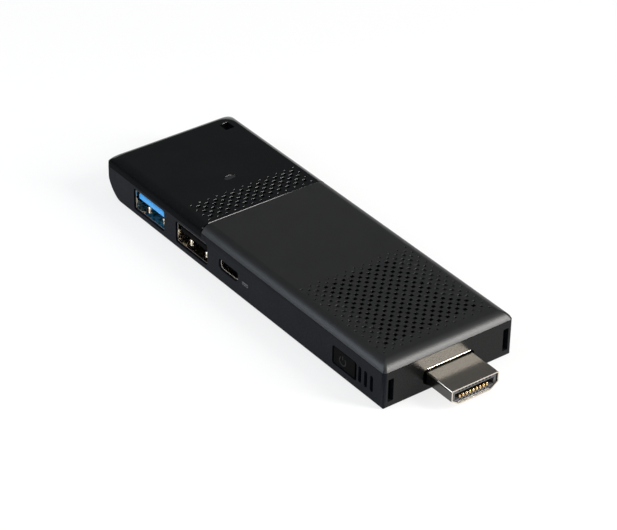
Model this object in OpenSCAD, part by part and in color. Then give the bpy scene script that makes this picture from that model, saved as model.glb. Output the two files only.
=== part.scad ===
// Stick computer: a slim case with a video plug on its front end.
// +X runs from the rear end to the plug, the port side faces -Y, and +Z is up.
// The origin is the bottom centre of the whole part, plug included. Millimetres.

/* [Case] */
// Length of the case from its rear end to its front wall
body_l = 113; // [110:0.5:122]
// Width of the case
body_w = 38; // [37:0.5:44]
// Height of the case at the matte cover
body_h = 12; // [11.8:0.1:14]
// Thickness of the case's walls and floor
wall_t = 1.2; // [1.1:0.05:1.35]
// Thickness of the two covers
cover_t = 1.1; // [0.9:0.05:1.2]
// Height of the covers above the crease where they meet the case
crease_drop = 2.1; // [1.9:0.05:2.4]
// Radius of the matte cover's bevelled edges
bevel_r = 3.3; // [2.8:0.05:4]
// How far the glossy cover lies below the matte one
gloss_drop = 0.25; // [0.1:0.05:0.4]
// Radius of the glossy cover's edges
gloss_r = 2.6; // [2.3:0.05:3.4]
// Radius along the case's bottom edges
bottom_r = 0.8; // [0.4:0.1:1]
// Radius of the upright edges at the front
front_corner_r = 1; // [0.6:0.1:1.6]
// Radius of the upright edges at the rear
rear_corner_r = 0.6; // [0.4:0.1:1]
// Radius that sweeps the rear end up from the floor
nose_r = 8; // [7:0.1:9]
// Distance of the seam between the covers from the rear end
seam_x = 41.3; // [40:0.1:44]
// Width of the seam between the covers
seam_gap = 0.3; // [0.2:0.05:0.4]

/* [Snap rim] */
// Depth of the rim under each cover
lip_h = 1.4; // [1.3:0.05:1.6]
// Thickness of that rim
lip_t = 0.9; // [0.8:0.05:1]
// Clearance between the rim and the case's walls
lip_gap = 0.12; // [0.08:0.01:0.2]
// Length of a snap hook
hook_l = 5; // [4:0.5:7]
// Radius of a snap hook
hook_r = 0.5; // [0.45:0.05:0.55]
// How far a snap hook stands out of the rim
hook_out = 0.35; // [0.25:0.01:0.4]
// Clearance between a hook and its pocket
hook_gap = 0.15; // [0.1:0.01:0.2]

/* [Grille and dimples] */
// Distance of the grille's outer rows from the case's sides
grille_side = 3.52; // [3.2:0.02:4]
// Rows and columns in the grille's staggered lattice
hole_count = 25; // [21:2:25]
// Width of a full square hole
hole_w = 0.94; // [0.7:0.01:1]
// Width of the holes in the second ring from the grille's edge
ring_hole_w = 0.6; // [0.5:0.01:0.8]
// Width of the holes in the outermost ring
edge_hole_w = 0.46; // [0.3:0.01:0.6]
// Depth of the holes that stay blind
dimple_depth = 0.4; // [0.2:0.05:0.6]
// Distance of the grille's last column from the front wall's face
grille_front = 4.7; // [4:0.1:5]
// Columns in the dimple band of the glossy cover
dimple_columns = 7; // [5:2:9]
// Distance of the band's last column from the seam
dimple_front = 1.25; // [0.9:0.05:1.5]

/* [Board] */
// Height of the board's underside above the table
board_z = 3.15; // [3:0.05:3.3]
// Thickness of the board
board_t = 0.8; // [0.7:0.05:1]
// Gap between the board's edge and the walls
board_gap = 0.3; // [0.2:0.05:0.5]
// Distance of the board's rear edge from the rear end
board_rear = 4.8; // [4.6:0.1:6]
// Distance of the port-side rear screw from the rear end
rear_screw_x = 9; // [8.8:0.1:9.4]
// Distance of the far-side rear screw from the rear end
far_screw_x = 14.6; // [14.2:0.1:15]
// Distance of the middle screws from the rear end
mid_screw_x = 62; // [61.5:0.1:62.5]
// Distance of the front screws from the front wall's face
front_screw_x = 24.5; // [24.2:0.1:24.8]
// Radius of a board screw's shank
screw_r = 0.75; // [0.6:0.05:0.8]
// Radius of a board screw's head
screw_head_r = 1.3; // [1.2:0.05:1.4]
// Height of a board screw's head
screw_head_h = 0.6; // [0.5:0.05:0.8]
// Clearance round a screw's shank
screw_gap = 0.08; // [0.05:0.01:0.15]

/* [Sockets] */
// Distance of the blue socket's centre from the rear end
blue_x = 18.7; // [18:0.1:20]
// Distance of the black socket's centre from the rear end
black_x = 37.2; // [36.5:0.1:38.5]
// Outer width of a socket's shell
socket_w = 13.1; // [12.9:0.05:13.3]
// Outer height of a socket's shell
socket_h = 5.7; // [5.5:0.05:5.8]
// Length of a socket
socket_l = 14; // [13:0.1:14.5]
// Thickness of the sockets' sheet metal
sheet_t = 0.3; // [0.25:0.01:0.35]
// Height of the sockets' centre above the board's middle
socket_rise = 1.3; // [1.2:0.05:1.4]
// How far the sockets' mouths lie inside the case's face
socket_recess = 0.35; // [0.1:0.05:0.5]
// Clearance round the sockets in the case's wall and the board
socket_gap = 0.2; // [0.15:0.01:0.3]
// Thickness of a socket's tongue
tongue_t = 1.84; // [1.7:0.01:1.9]
// Width of a socket's tongue
tongue_w = 11.1; // [10.8:0.05:11.2]
// Distance of the power inlet's centre from the rear end
inlet_x = 52.8; // [52:0.1:54]
// Outer width of the power inlet
inlet_w = 7.5; // [7.2:0.05:7.8]
// Outer height of the power inlet
inlet_h = 2.6; // [2.4:0.05:2.8]
// Length of the power inlet
inlet_l = 4.7; // [4.4:0.05:4.8]
// Distance of the card socket's centre from the rear end
card_x = 36.5; // [36:0.1:37]
// Width of the card socket
card_socket_w = 13.6; // [13.4:0.1:14]
// Length of the card socket
card_socket_l = 13.8; // [13:0.1:14.5]
// Height of the card socket
card_socket_h = 1.6; // [1.5:0.05:1.9]
// Width of the card's slot
card_slot_w = 11.6; // [11.3:0.1:12]
// Height of the card's slot
card_slot_h = 1; // [0.9:0.05:1.1]

/* [Video plug] */
// How far the plug stands out of the front wall
plug_reach = 9.5; // [8.5:0.1:12]
// How far the plug's shell runs back inside the case
plug_root = 10.8; // [10:0.1:12]
// Outer width of the plug's shell
plug_w = 13.9; // [13.7:0.05:14]
// Outer height of the plug's shell
plug_h = 4.45; // [4.3:0.05:4.5]
// Width of the slanted lower corners
plug_corner_w = 2.3; // [2:0.05:2.6]
// Height of the slanted lower corners
plug_corner_h = 1.6; // [1.4:0.05:1.8]
// Radius of the plug's upper edges
plug_edge_r = 0.5; // [0.4:0.05:0.7]
// Thickness of the plug's sheet metal
plug_sheet_t = 0.35; // [0.3:0.01:0.4]
// Height of the slot between the two rows of contacts
plug_slot_h = 1.7; // [1.5:0.05:1.8]
// Width of that slot
plug_slot_w = 11.4; // [11:0.1:11.6]
// Width of a plug contact
plug_contact_w = 0.5; // [0.4:0.01:0.6]
// Thickness of a plug contact
plug_contact_t = 0.25; // [0.2:0.01:0.3]
// Pitch of the plug's contacts
plug_pitch = 1; // [0.95:0.01:1.05]
// Gap round the plug in the front wall
plug_gap = 0.5; // [0.4:0.05:0.6]

/* [Air slots] */
// Distance of the foremost side slot from the front wall's face
vent_front = 4.4; // [4.2:0.1:4.6]
// Pitch of the side slots
vent_pitch = 2.15; // [2:0.05:2.2]
// Number of side slots on each side
vent_count = 3; // [2:1:3]
// Width of a side slot
vent_w = 1.1; // [0.9:0.05:1.2]
// Height of a side slot
vent_h = 4.4; // [4:0.1:5]
// Height of the side slots' middle
vent_z = 4.9; // [4.7:0.1:5.2]
// Width of a slot in the front wall
front_slot_w = 1.6; // [1.3:0.05:1.7]
// Height of a slot in the front wall
front_slot_h = 6.1; // [5.5:0.1:6.4]
// Distance of a front slot's middle from the case's side
front_slot_edge = 2.1; // [1.9:0.1:2.4]

/* [Power button] */
// Distance of the button's middle from the front wall's face
button_front = 14.7; // [14.5:0.1:15.4]
// Width of the button's cap
button_w = 8; // [7.8:0.1:8.2]
// Height of the button's cap
button_h = 4.5; // [4.2:0.1:4.6]
// Gap round the cap
button_gap = 0.3; // [0.2:0.05:0.4]
// Extra gap at the cap's front end
button_front_gap = 0.5; // [0.3:0.05:0.6]
// How far the cap lies inside the case's face
button_recess = 0.15; // [0.1:0.05:0.3]
// Travel of the button
button_travel = 0.35; // [0.2:0.05:0.4]
// Width of the flange behind the wall beyond the opening
button_flange = 0.6; // [0.5:0.05:0.8]
// Thickness of that flange
flange_t = 0.8; // [0.6:0.05:0.9]
// Clearance between the flange and the wall at rest
flange_gap = 0.1; // [0.05:0.01:0.2]

/* [Light and lanyard] */
// Distance of the status light from the rear end
light_x = 26.7; // [26.4:0.1:27.4]
// Size of the light's window along the case
light_w = 1.5; // [1.3:0.1:1.7]
// Size of the light's window across the case
light_l = 3.4; // [3:0.1:3.6]
// Distance of the lanyard hole's middle from the rear end
lanyard_x = 5.9; // [5.6:0.1:6.2]
// Distance of the lanyard hole's middle from the far side
lanyard_y = 5.2; // [5.1:0.1:5.6]
// Size of the lanyard hole along the case
lanyard_l = 3.1; // [2.8:0.1:3.4]
// Size of the lanyard hole across the case
lanyard_w = 2.7; // [2.5:0.1:3]

/* [Cooling] */
// Height of the heat spreader's underside above the board
spreader_rise = 1.95; // [1.9:0.05:2.2]
// Thickness of the heat spreader
spreader_t = 0.6; // [0.5:0.05:0.7]
// Distance of the heat spreader's sides from the case's sides
spreader_edge = 5.8; // [5.7:0.1:7]
// Distance of the processor's middle from the rear end
processor_at = 65.5; // [65:0.1:66]
// Distance of the square blower's sides from the case's sides
blower_edge = 5; // [4.6:0.1:5.2]
// Distance of the blower's front from the front wall's face
blower_front = 6; // [5.8:0.1:6.4]
// Thickness of the foam ring over the blower
foam_t = 0.4; // [0.3:0.05:0.6]
// Distance of the rotor's blade tips from the blower's sides
rotor_edge = 2.2; // [2:0.1:2.6]
// How far the blower's top plate covers the blades
inlet_ring = 3.2; // [2.8:0.1:3.6]
// Number of rotor blades
blade_count = 23; // [15:1:29]
// Radius of the rotor's hub
hub_r = 5.4; // [5.2:0.1:5.8]
// Radius of the rotor's shaft
shaft_r = 0.75; // [0.6:0.05:0.8]
// Running clearance of the shaft in its sleeve
shaft_gap = 0.03; // [0.02:0.01:0.06]
// Clearance above and below the rotor
rotor_gap = 0.3; // [0.2:0.05:0.4]

/* [Hidden] */
$fn = 72;
// Reach of a cut past the face it opens
over = 1;
x_rear = -(body_l + plug_reach) / 2;
x_front = x_rear + body_l;
y_port = -body_w / 2;
y_far = body_w / 2;
crease_z = body_h - crease_drop;
gloss_z = body_h - gloss_drop;
seam = x_rear + seam_x;
lip_in = wall_t + lip_gap;
hole_pitch = (body_w - 2 * grille_side) / (hole_count - 1);
// Stations of the snap hooks and of the ribs under the board's edges
hook_z = crease_z - lip_h / 2 - hook_gap;
rear_hooks_x = [for (d = [10.5, 27.5]) x_rear + d];
hook_edge = 8;
front_hooks_y = [y_port + hook_edge, y_far - hook_edge];
rib_front_gap = 3;
ribs_x = concat([for (d = [28.3, 47, 71]) x_rear + d], [x_front - front_screw_x + rib_front_gap]);

board_top = board_z + board_t;
board_mid = board_z + board_t / 2;
board_x0 = x_rear + board_rear;
plug_board_gap = 0.7;
board_x1 = x_front - plug_root - plug_board_gap;
board_w = body_w - 2 * (wall_t + board_gap);
edge_screw_in = 2.5;
rear_screw_in = 3.4;
edge_screw_y = board_w / 2 - edge_screw_in;
rear_screw_y = board_w / 2 - rear_screw_in;
board_screws_at = [
    [x_rear + rear_screw_x, -rear_screw_y],
    [x_rear + far_screw_x, rear_screw_y],
    [x_rear + mid_screw_x, -edge_screw_y],
    [x_rear + mid_screw_x, edge_screw_y],
    [x_front - front_screw_x, -edge_screw_y],
    [x_front - front_screw_x, edge_screw_y]
];
boss_r = 1.9;

blue_at = x_rear + blue_x;
black_at = x_rear + black_x;
socket_z = board_mid + socket_rise;
socket_y0 = y_port + socket_recess;
socket_y1 = socket_y0 + socket_l;
socket_block_l = 3.2;
socket_corner_r = 0.6;
tongue_drop = 0.7;
tongue_z1 = socket_z + socket_h / 2 - sheet_t - tongue_drop;
tongue_z0 = tongue_z1 - tongue_t;
inlet_at = x_rear + inlet_x;
inlet_z = board_top + inlet_h / 2;
inlet_recess = 0.45;
inlet_y0 = y_port + inlet_recess;
inlet_y1 = inlet_y0 + inlet_l;
inlet_lower_r = 1.2;
inlet_upper_r = 0.5;
card_at = x_rear + card_x;
card_y1 = board_w / 2;
card_y0 = card_y1 - card_socket_l;
card_base_t = 0.4;
card_sheet_t = 0.2;

plug_x0 = x_front - plug_root;
plug_x1 = x_front + plug_reach;
plug_rows = [10, 9];
button_x = x_front - button_front;
button_z = 4.85;
cap_r = 0.35;
flange_y1 = y_port + wall_t + flange_gap + flange_t;
flange_half = button_w / 2 + button_gap + button_flange;
// The front cover's side hooks: the first clears the button's flange
hook_step = 18;
front_hooks_x = [for (i = [0 : 2]) button_x - flange_half - hook_l - i * hook_step];
switch_reach = 1;
switch_y0 = flange_y1 + switch_reach;
switch_w = 5;
switch_d = 2.4;
switch_h = 1.9;
switch_x0 = button_x - switch_w / 2;
switch_front_t = 0.5;
switch_back_t = 0.4;
switch_floor_t = 0.3;
switch_back_y = switch_y0 + switch_d - switch_back_t;
pad_t = 0.25;
plunger_w = 2.4;
plunger_h = 1;
plunger_gap = 0.08;
plunger_rise = 0.5;
plunger_z = board_top + plunger_rise;
plunger_in = 0.6;
dome_gap = 0.05;
dome_t = 0.1;
dome_y = switch_y0 + plunger_in + button_travel + dome_gap;

light_at = x_rear + light_x;
led_h = 0.6;
lanyard_at = [x_rear + lanyard_x, y_far - lanyard_y];
lanyard_wall = 0.8;

spreader_z0 = board_top + spreader_rise;
spreader_z1 = spreader_z0 + spreader_t;
spreader_w = body_w - 2 * spreader_edge;
spreader_front_gap = 1.6;
spreader_x1 = x_front - wall_t - spreader_front_gap;
processor_x = x_rear + processor_at;
processor_w = 15;
substrate_t = 0.6;
die_t = 0.5;
spreader_tail = 7;
spreader_x0 = processor_x - processor_w / 2 - spreader_tail;
blower_w = body_w - 2 * blower_edge;
rotor_r = blower_w / 2 - rotor_edge;
inlet_r = rotor_r - inlet_ring;
blower_x1 = x_front - blower_front;
blower_x0 = blower_x1 - blower_w;
blower_x = (blower_x0 + blower_x1) / 2;
blower_z1 = body_h - cover_t - foam_t;
blower_floor_t = 0.5;
blower_plate_t = 0.4;
blower_floor = spreader_z1 + blower_floor_t;
blower_plate_z = blower_z1 - blower_plate_t;
volute_gap = 0.8;
volute_r = rotor_r + volute_gap;
rotor_z0 = blower_floor + rotor_gap;
rotor_z1 = blower_plate_z - rotor_gap;
hub_wall = 0.8;
rotor_disc_t = 0.4;
blade_overhang = 1.3;
sleeve_r = 1.6;
collar_r = 2.2;
stator_gap = 0.4;
stator_r = hub_r - hub_wall - stator_gap;
hub_gap = 0.35;
stator_h = rotor_z1 - hub_wall - hub_gap - blower_floor;
blower_hole_in = 1.7;
blower_corner = blower_w / 2 - blower_hole_in;
blower_holes = [
    for (s = [[-1, -1], [-1, 1], [1, 1]])
        [blower_x + s[0] * blower_corner, s[1] * blower_corner]
];
post_r = 1.5;
post_in = 1.8;
post_y = spreader_w / 2 - post_in;
post_rear = 2.2;
post_front = 3;
posts_at = [for (x = [spreader_x0 + post_rear, blower_x0 - post_front]) for (y = [-post_y, post_y]) [x, y]];

// Extrusions of an outline drawn in its own plane's coordinates
module along_x(x0, x1) {
    translate([x0, 0, 0]) rotate([90, 0, 90]) linear_extrude(x1 - x0) children();
}

module along_y(y0, y1) {
    translate([0, y1, 0]) rotate([90, 0, 0]) linear_extrude(y1 - y0) children();
}

module along_z(z0, z1) {
    translate([0, 0, z0]) linear_extrude(z1 - z0) children();
}

module block(low, high) {
    translate(low) cube(high - low);
}

module post(at, z0, z1, r) {
    translate([at[0], at[1], z0]) cylinder(h = z1 - z0, r = r);
}

// Outlines
module rect(x0, y0, x1, y1) {
    translate([x0, y0]) square([x1 - x0, y1 - y0]);
}

module round_rect(x0, y0, x1, y1, r) {
    rect(x0 + r, y0, x1 - r, y1);
    rect(x0, y0 + r, x1, y1 - r);
    for (x = [x0 + r, x1 - r])
        for (y = [y0 + r, y1 - r])
            translate([x, y]) circle(r);
}

// Slot with round ends, upright in its plane
module upright_slot(x, y, w, h) {
    rect(x - w / 2, y - h / 2 + w / 2, x + w / 2, y + h / 2 - w / 2);
    for (s = [-1, 1])
        translate([x, y + s * (h / 2 - w / 2)]) circle(w / 2);
}

// What lies outside a quarter circle, in the quadrant that dx and dy point to
module arc_corner(x, y, r, dx, dy) {
    reach = 4 * r + 8;
    difference() {
        rect(min(x, x + dx * reach), min(y, y + dy * reach), max(x, x + dx * reach), max(y, y + dy * reach));
        translate([x, y]) circle(r);
    }
}

function bevel_reach(r, drop) = sqrt(r * r - (r - drop) * (r - drop));

// Case envelope: three outlines that cross, drawn in by an inset for the hollow
module case_side(inset) {
    difference() {
        rect(x_rear + inset, inset, x_front - inset, crease_z + inset);
        arc_corner(x_rear + nose_r, nose_r, nose_r - inset, -1, -1);
        if (bottom_r > inset) arc_corner(x_front - bottom_r, bottom_r, bottom_r - inset, 1, -1);
    }
}

module case_cross(inset) {
    difference() {
        rect(y_port + inset, inset, y_far - inset, crease_z + inset);
        if (bottom_r > inset) arc_corner(y_far - bottom_r, bottom_r, bottom_r - inset, 1, -1);
        if (bottom_r > inset) arc_corner(y_port + bottom_r, bottom_r, bottom_r - inset, -1, -1);
    }
}

module case_plan(inset) {
    front_r = front_corner_r - inset;
    rear_r = rear_corner_r - inset;
    difference() {
        rect(x_rear + inset, y_port + inset, x_front - inset, y_far - inset);
        for (s = [-1, 1]) {
            edge_y = s * body_w / 2;
            if (front_r > 0) arc_corner(x_front - front_corner_r, edge_y - s * front_corner_r, front_r, 1, s);
            if (rear_r > 0) arc_corner(x_rear + rear_corner_r, edge_y - s * rear_corner_r, rear_r, -1, s);
        }
    }
}

module case_block(inset) {
    intersection() {
        along_y(y_port, y_far) case_side(inset);
        along_x(x_rear, x_front) case_cross(inset);
        along_z(0, body_h) case_plan(inset);
    }
}

// Cover envelope over the crease, with edges of radius r that run tangent into the top
module cover_block(top_z, r, side_t, top_t, low_z) {
    reach = bevel_reach(r, top_z - crease_z);
    intersection() {
        along_y(y_port, y_far) difference() {
            rect(x_rear + side_t, low_z, x_front - side_t, top_z - top_t);
            arc_corner(x_front - reach, top_z - r, r - top_t, 1, 1);
            arc_corner(x_rear + reach, top_z - r, r - top_t, -1, 1);
        }
        along_x(x_rear, x_front) difference() {
            rect(y_port + side_t, low_z, y_far - side_t, top_z - top_t);
            arc_corner(y_far - reach, top_z - r, r - top_t, 1, 1);
            arc_corner(y_port + reach, top_z - r, r - top_t, -1, 1);
        }
        along_z(low_z, top_z) case_plan(side_t);
    }
}

// Cover shell between two stations, with the rim that drops inside the case's walls
module cover_shell(x0, x1, top_z, r) {
    intersection() {
        union() {
            difference() {
                cover_block(top_z, r, 0, 0, crease_z);
                cover_block(top_z, r, wall_t, cover_t, crease_z - over);
            }
            along_z(crease_z - lip_h, top_z - cover_t) difference() {
                case_plan(lip_in);
                case_plan(lip_in + lip_t);
            }
        }
        block([x0, y_port, 0], [x1, y_far, body_h]);
    }
}

// Snap hooks on a rim along both long walls
module side_hooks(stations) {
    hook_y = body_w / 2 - lip_in + hook_out - hook_r;
    for (x = stations)
        for (s = [-1, 1])
            translate([x - hook_l / 2, s * hook_y, hook_z])
                rotate([0, 90, 0]) cylinder(h = hook_l, r = hook_r);
}

// Square holes of one kind in the grille's lattice, seen from above
function edge_ring(c, r, columns, rows) = min(c, r, columns - 1 - c, rows - 1 - r);
function lattice_y(r) = (r - (hole_count - 1) / 2) * hole_pitch;
function grille_x(c) = x_front - grille_front - (hole_count - 1 - c) * hole_pitch;
function dimple_x(c) = seam - dimple_front - (dimple_columns - 1 - c) * hole_pitch;
// Inner holes open into the blower in a field that flares towards the front
field_low = 4;
field_high = 5;
field_flare = 18;
function opens(c, r) =
    edge_ring(c, r, hole_count, hole_count) > 1
    && r >= min(field_low, hole_count - 1 - c)
    && hole_count - 1 - r >= (c < field_flare ? field_high : max(2, hole_count - 3 - c));

module square_hole(x, y, w) {
    translate([x, y]) square(w, center = true);
}

module grille_holes(through) {
    last = hole_count - 1;
    for (c = [0 : last])
        for (r = [c % 2 : 2 : last])
            if (opens(c, r) == through) {
                ring = edge_ring(c, r, hole_count, hole_count);
                w = ring == 0 ? edge_hole_w : ring == 1 ? ring_hole_w : hole_w;
                square_hole(grille_x(c), lattice_y(r), w);
            }
}

module band_dimples() {
    for (c = [0 : dimple_columns - 1])
        for (r = [c % 2 : 2 : hole_count - 1])
            square_hole(
                dimple_x(c), lattice_y(r),
                edge_ring(c, r, dimple_columns, hole_count) == 0 ? edge_hole_w : hole_w
            );
}

// Casing

module lanyard_outline(grow) {
    rect(
        lanyard_at[0] - lanyard_l / 2 - grow, lanyard_at[1] - lanyard_w / 2 - grow,
        lanyard_at[0] + lanyard_l / 2 + grow, lanyard_at[1] + lanyard_w / 2 + grow
    );
}

module socket_opening(at) {
    round_rect(
        at - socket_w / 2 - socket_gap, socket_z - socket_h / 2 - socket_gap,
        at + socket_w / 2 + socket_gap, socket_z + socket_h / 2 + socket_gap, socket_corner_r + socket_gap
    );
}

module inlet_outline(grow) {
    half = inlet_w / 2 + grow;
    low = inlet_z - inlet_h / 2 - grow;
    high = inlet_z + inlet_h / 2 + grow;
    difference() {
        rect(inlet_at - half, low, inlet_at + half, high);
        for (s = [-1, 1]) {
            lower_x = inlet_at + s * (inlet_w / 2 - inlet_lower_r);
            upper_x = inlet_at + s * (inlet_w / 2 - inlet_upper_r);
            arc_corner(lower_x, inlet_z - inlet_h / 2 + inlet_lower_r, inlet_lower_r + grow, s, -1);
            arc_corner(upper_x, inlet_z + inlet_h / 2 - inlet_upper_r, inlet_upper_r + grow, s, 1);
        }
    }
}

module button_outline(grow, front, r) {
    round_rect(
        button_x - button_w / 2 - grow, button_z - button_h / 2 - grow,
        button_x + button_w / 2 + grow + front, button_z + button_h / 2 + grow, r
    );
}

module port_wall_openings() {
    socket_opening(blue_at);
    socket_opening(black_at);
    inlet_outline(socket_gap);
    button_outline(button_gap, button_front_gap, cap_r + button_gap);
}

module side_slots() {
    for (i = [0 : vent_count - 1])
        upright_slot(x_front - vent_front - i * vent_pitch, vent_z, vent_w, vent_h);
}

module front_wall_openings() {
    slot_corner_r = 0.3;
    plug_outline(-plug_gap);
    for (s = [-1, 1])
        round_rect(
            s * (body_w / 2 - front_slot_edge) - front_slot_w / 2, vent_z - front_slot_h / 2,
            s * (body_w / 2 - front_slot_edge) + front_slot_w / 2, vent_z + front_slot_h / 2, slot_corner_r
        );
}

module hook_pockets() {
    depth = hook_out - lip_gap + hook_gap;
    half_l = hook_l / 2 + hook_gap;
    half_h = hook_r + hook_gap;
    inner_y = body_w / 2 - wall_t;
    for (x = concat(front_hooks_x, rear_hooks_x))
        block(
            [x - half_l, -inner_y - depth, hook_z - half_h],
            [x + half_l, inner_y + depth, hook_z + half_h]
        );
    for (y = front_hooks_y)
        block(
            [x_front - wall_t - over, y - half_l, hook_z - half_h],
            [x_front - wall_t + depth, y + half_l, hook_z + half_h]
        );
}

module lower_case() {
    rib_l = 1;
    rib_reach = 1.1;
    rib_y = body_w / 2 - wall_t - rib_reach / 2 + wall_t / 4;
    color("#23262e") difference() {
        union() {
            difference() {
                case_block(0);
                case_block(wall_t);
                hook_pockets();
            }
            intersection() {
                case_block(0);
                union() {
                    for (at = board_screws_at)
                        post(at, wall_t / 2, board_z, boss_r);
                    along_z(0, gloss_z - cover_t - lip_gap) lanyard_outline(lanyard_wall);
                    for (x = ribs_x)
                        for (s = [-1, 1])
                            translate([x, s * rib_y, board_z / 2])
                                cube([rib_l, rib_reach + wall_t / 2, board_z], center = true);
                }
            }
            along_z(wall_t, gloss_z - cover_t - lip_gap) difference() {
                lanyard_outline(lanyard_wall);
                lanyard_outline(0);
            }
        }
        along_y(y_port - over, y_port + wall_t + over / 4) port_wall_openings();
        along_y(y_port - over, y_port + wall_t + over / 4) side_slots();
        along_y(y_far - wall_t - over / 4, y_far + over) side_slots();
        along_y(y_far - wall_t - over / 4, y_far + over)
            rect(
                card_at - card_slot_w / 2, board_top + card_base_t,
                card_at + card_slot_w / 2, board_top + card_socket_h - card_sheet_t + socket_gap
            );
        along_x(x_front - wall_t - over / 4, x_front + over) front_wall_openings();
        block(
            [plug_x0 - over, plug_corner_w - plug_w / 2, board_mid - plug_h / 2 - plug_gap],
            [x_front, plug_w / 2 - plug_corner_w, wall_t + over]
        );
        along_z(-over, body_h) lanyard_outline(0);
        for (at = board_screws_at)
            post(at, wall_t, board_z + over, screw_r + screw_gap);
    }
}

// Room that the covers' rims leave for the sockets and for the button's flange
module rim_clearance() {
    socket_half = socket_w / 2 + socket_gap;
    flange_room = flange_half + button_gap;
    flange_z1 = button_z + button_h / 2 + button_gap + button_flange;
    for (at = [blue_at, black_at])
        block(
            [at - socket_half, y_port + wall_t, 0],
            [at + socket_half, socket_y1 + socket_gap, socket_z + socket_h / 2 + socket_gap]
        );
    block(
        [button_x - flange_room, y_port + wall_t, 0],
        [button_x + flange_room + button_front_gap, switch_y0, flange_z1 + button_gap]
    );
}

module front_cover() {
    color("#2c2d2e") difference() {
        union() {
            cover_shell(seam + seam_gap / 2, x_front, body_h, bevel_r);
            side_hooks(front_hooks_x);
            for (y = front_hooks_y)
                translate([x_front - lip_in + hook_out - hook_r, y + hook_l / 2, hook_z])
                    rotate([90, 0, 0]) cylinder(h = hook_l, r = hook_r);
        }
        along_z(body_h - cover_t - over, body_h + over) grille_holes(true);
        along_z(body_h - dimple_depth, body_h + over) grille_holes(false);
        rim_clearance();
    }
}

module rear_cover() {
    tongue_top = body_h - cover_t - lip_gap;
    tongue_half = body_w / 2 - lip_in - lip_t - bevel_r / 4;
    tongue_reach = 1.6;
    color("#1c1e1e") difference() {
        union() {
            cover_shell(x_rear, seam - seam_gap / 2, gloss_z, gloss_r);
            side_hooks(rear_hooks_x);
            block(
                [seam - tongue_reach, -tongue_half, tongue_top - cover_t],
                [seam + tongue_reach, tongue_half, tongue_top]
            );
        }
        along_z(gloss_z - dimple_depth, body_h) band_dimples();
        along_z(0, body_h) upright_slot(light_at, 0, light_w, light_l);
        along_z(0, body_h) lanyard_outline(0);
        rim_clearance();
    }
}

// Clear pipe that carries the status light up to the glossy cover
module light_pipe() {
    clear = 0.05;
    flange = 0.8;
    flange_h = 0.6;
    flange_top = gloss_z - cover_t;
    led_gap = 0.3;
    color("#d8dcdc") union() {
        along_z(board_top + led_h + led_gap, gloss_z - clear)
            upright_slot(light_at, 0, light_w - 2 * clear, light_l - 2 * clear);
        along_z(flange_top - flange_h, flange_top)
            upright_slot(light_at, 0, light_w + 2 * flange, light_l + 2 * flange);
    }
}

// Power button and the push switch behind it

module power_button() {
    color("#22252c") union() {
        along_y(y_port + button_recess, flange_y1) button_outline(0, 0, cap_r);
        along_y(flange_y1 - flange_t, flange_y1)
            button_outline(button_gap + button_flange, button_front_gap, cap_r);
        along_y(flange_y1 - pad_t, flange_y1 + pad_t)
            rect(
                button_x - plunger_w, plunger_z - pad_t,
                button_x + plunger_w, plunger_z + plunger_h + pad_t
            );
    }
}

module plunger_outline(grow) {
    rect(
        button_x - plunger_w / 2 - grow, plunger_z - grow,
        button_x + plunger_w / 2 + grow, plunger_z + plunger_h + grow
    );
}

module switch_body() {
    room_half = switch_w / 2 - switch_front_t;
    color("#1b1b1d") difference() {
        block(
            [switch_x0, switch_y0, board_top],
            [switch_x0 + switch_w, switch_y0 + switch_d, board_top + switch_h]
        );
        along_y(switch_y0 - over, switch_y0 + over) plunger_outline(plunger_gap);
        block(
            [button_x - room_half, switch_y0 + switch_front_t, board_top + switch_floor_t],
            [button_x + room_half, switch_back_y, board_top + switch_h - switch_floor_t]
        );
    }
}

// Arched snap spring that stands on the back wall of the switch
module switch_dome() {
    rise = switch_back_y - dome_y;
    half = switch_w / 2 - switch_front_t - switch_floor_t;
    arc_r = (half * half + rise * rise) / (2 * rise);
    edge = switch_floor_t + dome_t;
    color("#c9c9c4") along_z(board_top + edge, board_top + switch_h - edge) intersection() {
        translate([button_x, dome_y + arc_r]) difference() {
            circle(arc_r);
            circle(arc_r - dome_t);
        }
        rect(button_x - half, dome_y - over, button_x + half, switch_back_y);
    }
}

module switch_plunger() {
    color("#d9d9d6") along_y(flange_y1 + pad_t, switch_y0 + plunger_in) plunger_outline(0);
}

// Board and what is soldered to it

module socket_notch(at) {
    half = socket_w / 2 + socket_gap;
    rect(at - half, y_port, at + half, socket_y1 + socket_gap);
}

module board_outline() {
    notch_half = flange_half + board_gap;
    difference() {
        rect(board_x0, -board_w / 2, board_x1, board_w / 2);
        socket_notch(blue_at);
        socket_notch(black_at);
        rect(
            button_x - notch_half, y_port,
            button_x + notch_half + button_front_gap, switch_y0 - plunger_gap
        );
        rect(
            board_x0 - over, lanyard_at[1] - lanyard_w / 2 - lanyard_wall - board_gap,
            lanyard_at[0] + lanyard_l / 2 + lanyard_wall + board_gap, y_far
        );
        for (at = board_screws_at)
            translate(at) circle(screw_r + screw_gap);
        for (at = posts_at)
            translate(at) circle(screw_r + screw_gap);
    }
}

module main_board() {
    color("#1f4a3a") along_z(board_z, board_top) board_outline();
}

// Pan-head screw that stands on z, with a cross recess
module screw(at, z, shank_l, r, head_r, head_h) {
    recess_l = head_r * 1.3;
    recess_w = head_r / 3;
    recess_d = head_h / 2;
    difference() {
        union() {
            post(at, z - shank_l, z, r);
            post(at, z, z + head_h, head_r);
        }
        for (a = [0, 90])
            translate([at[0], at[1], z + head_h]) rotate(a)
                cube([recess_l, recess_w, recess_d * 2], center = true);
    }
}

module board_screws() {
    foot_gap = 0.1;
    shank_l = board_top - wall_t - foot_gap;
    color("#8d9094") for (at = board_screws_at)
        screw(at, board_top, shank_l, screw_r, screw_head_r, screw_head_h);
}

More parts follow.
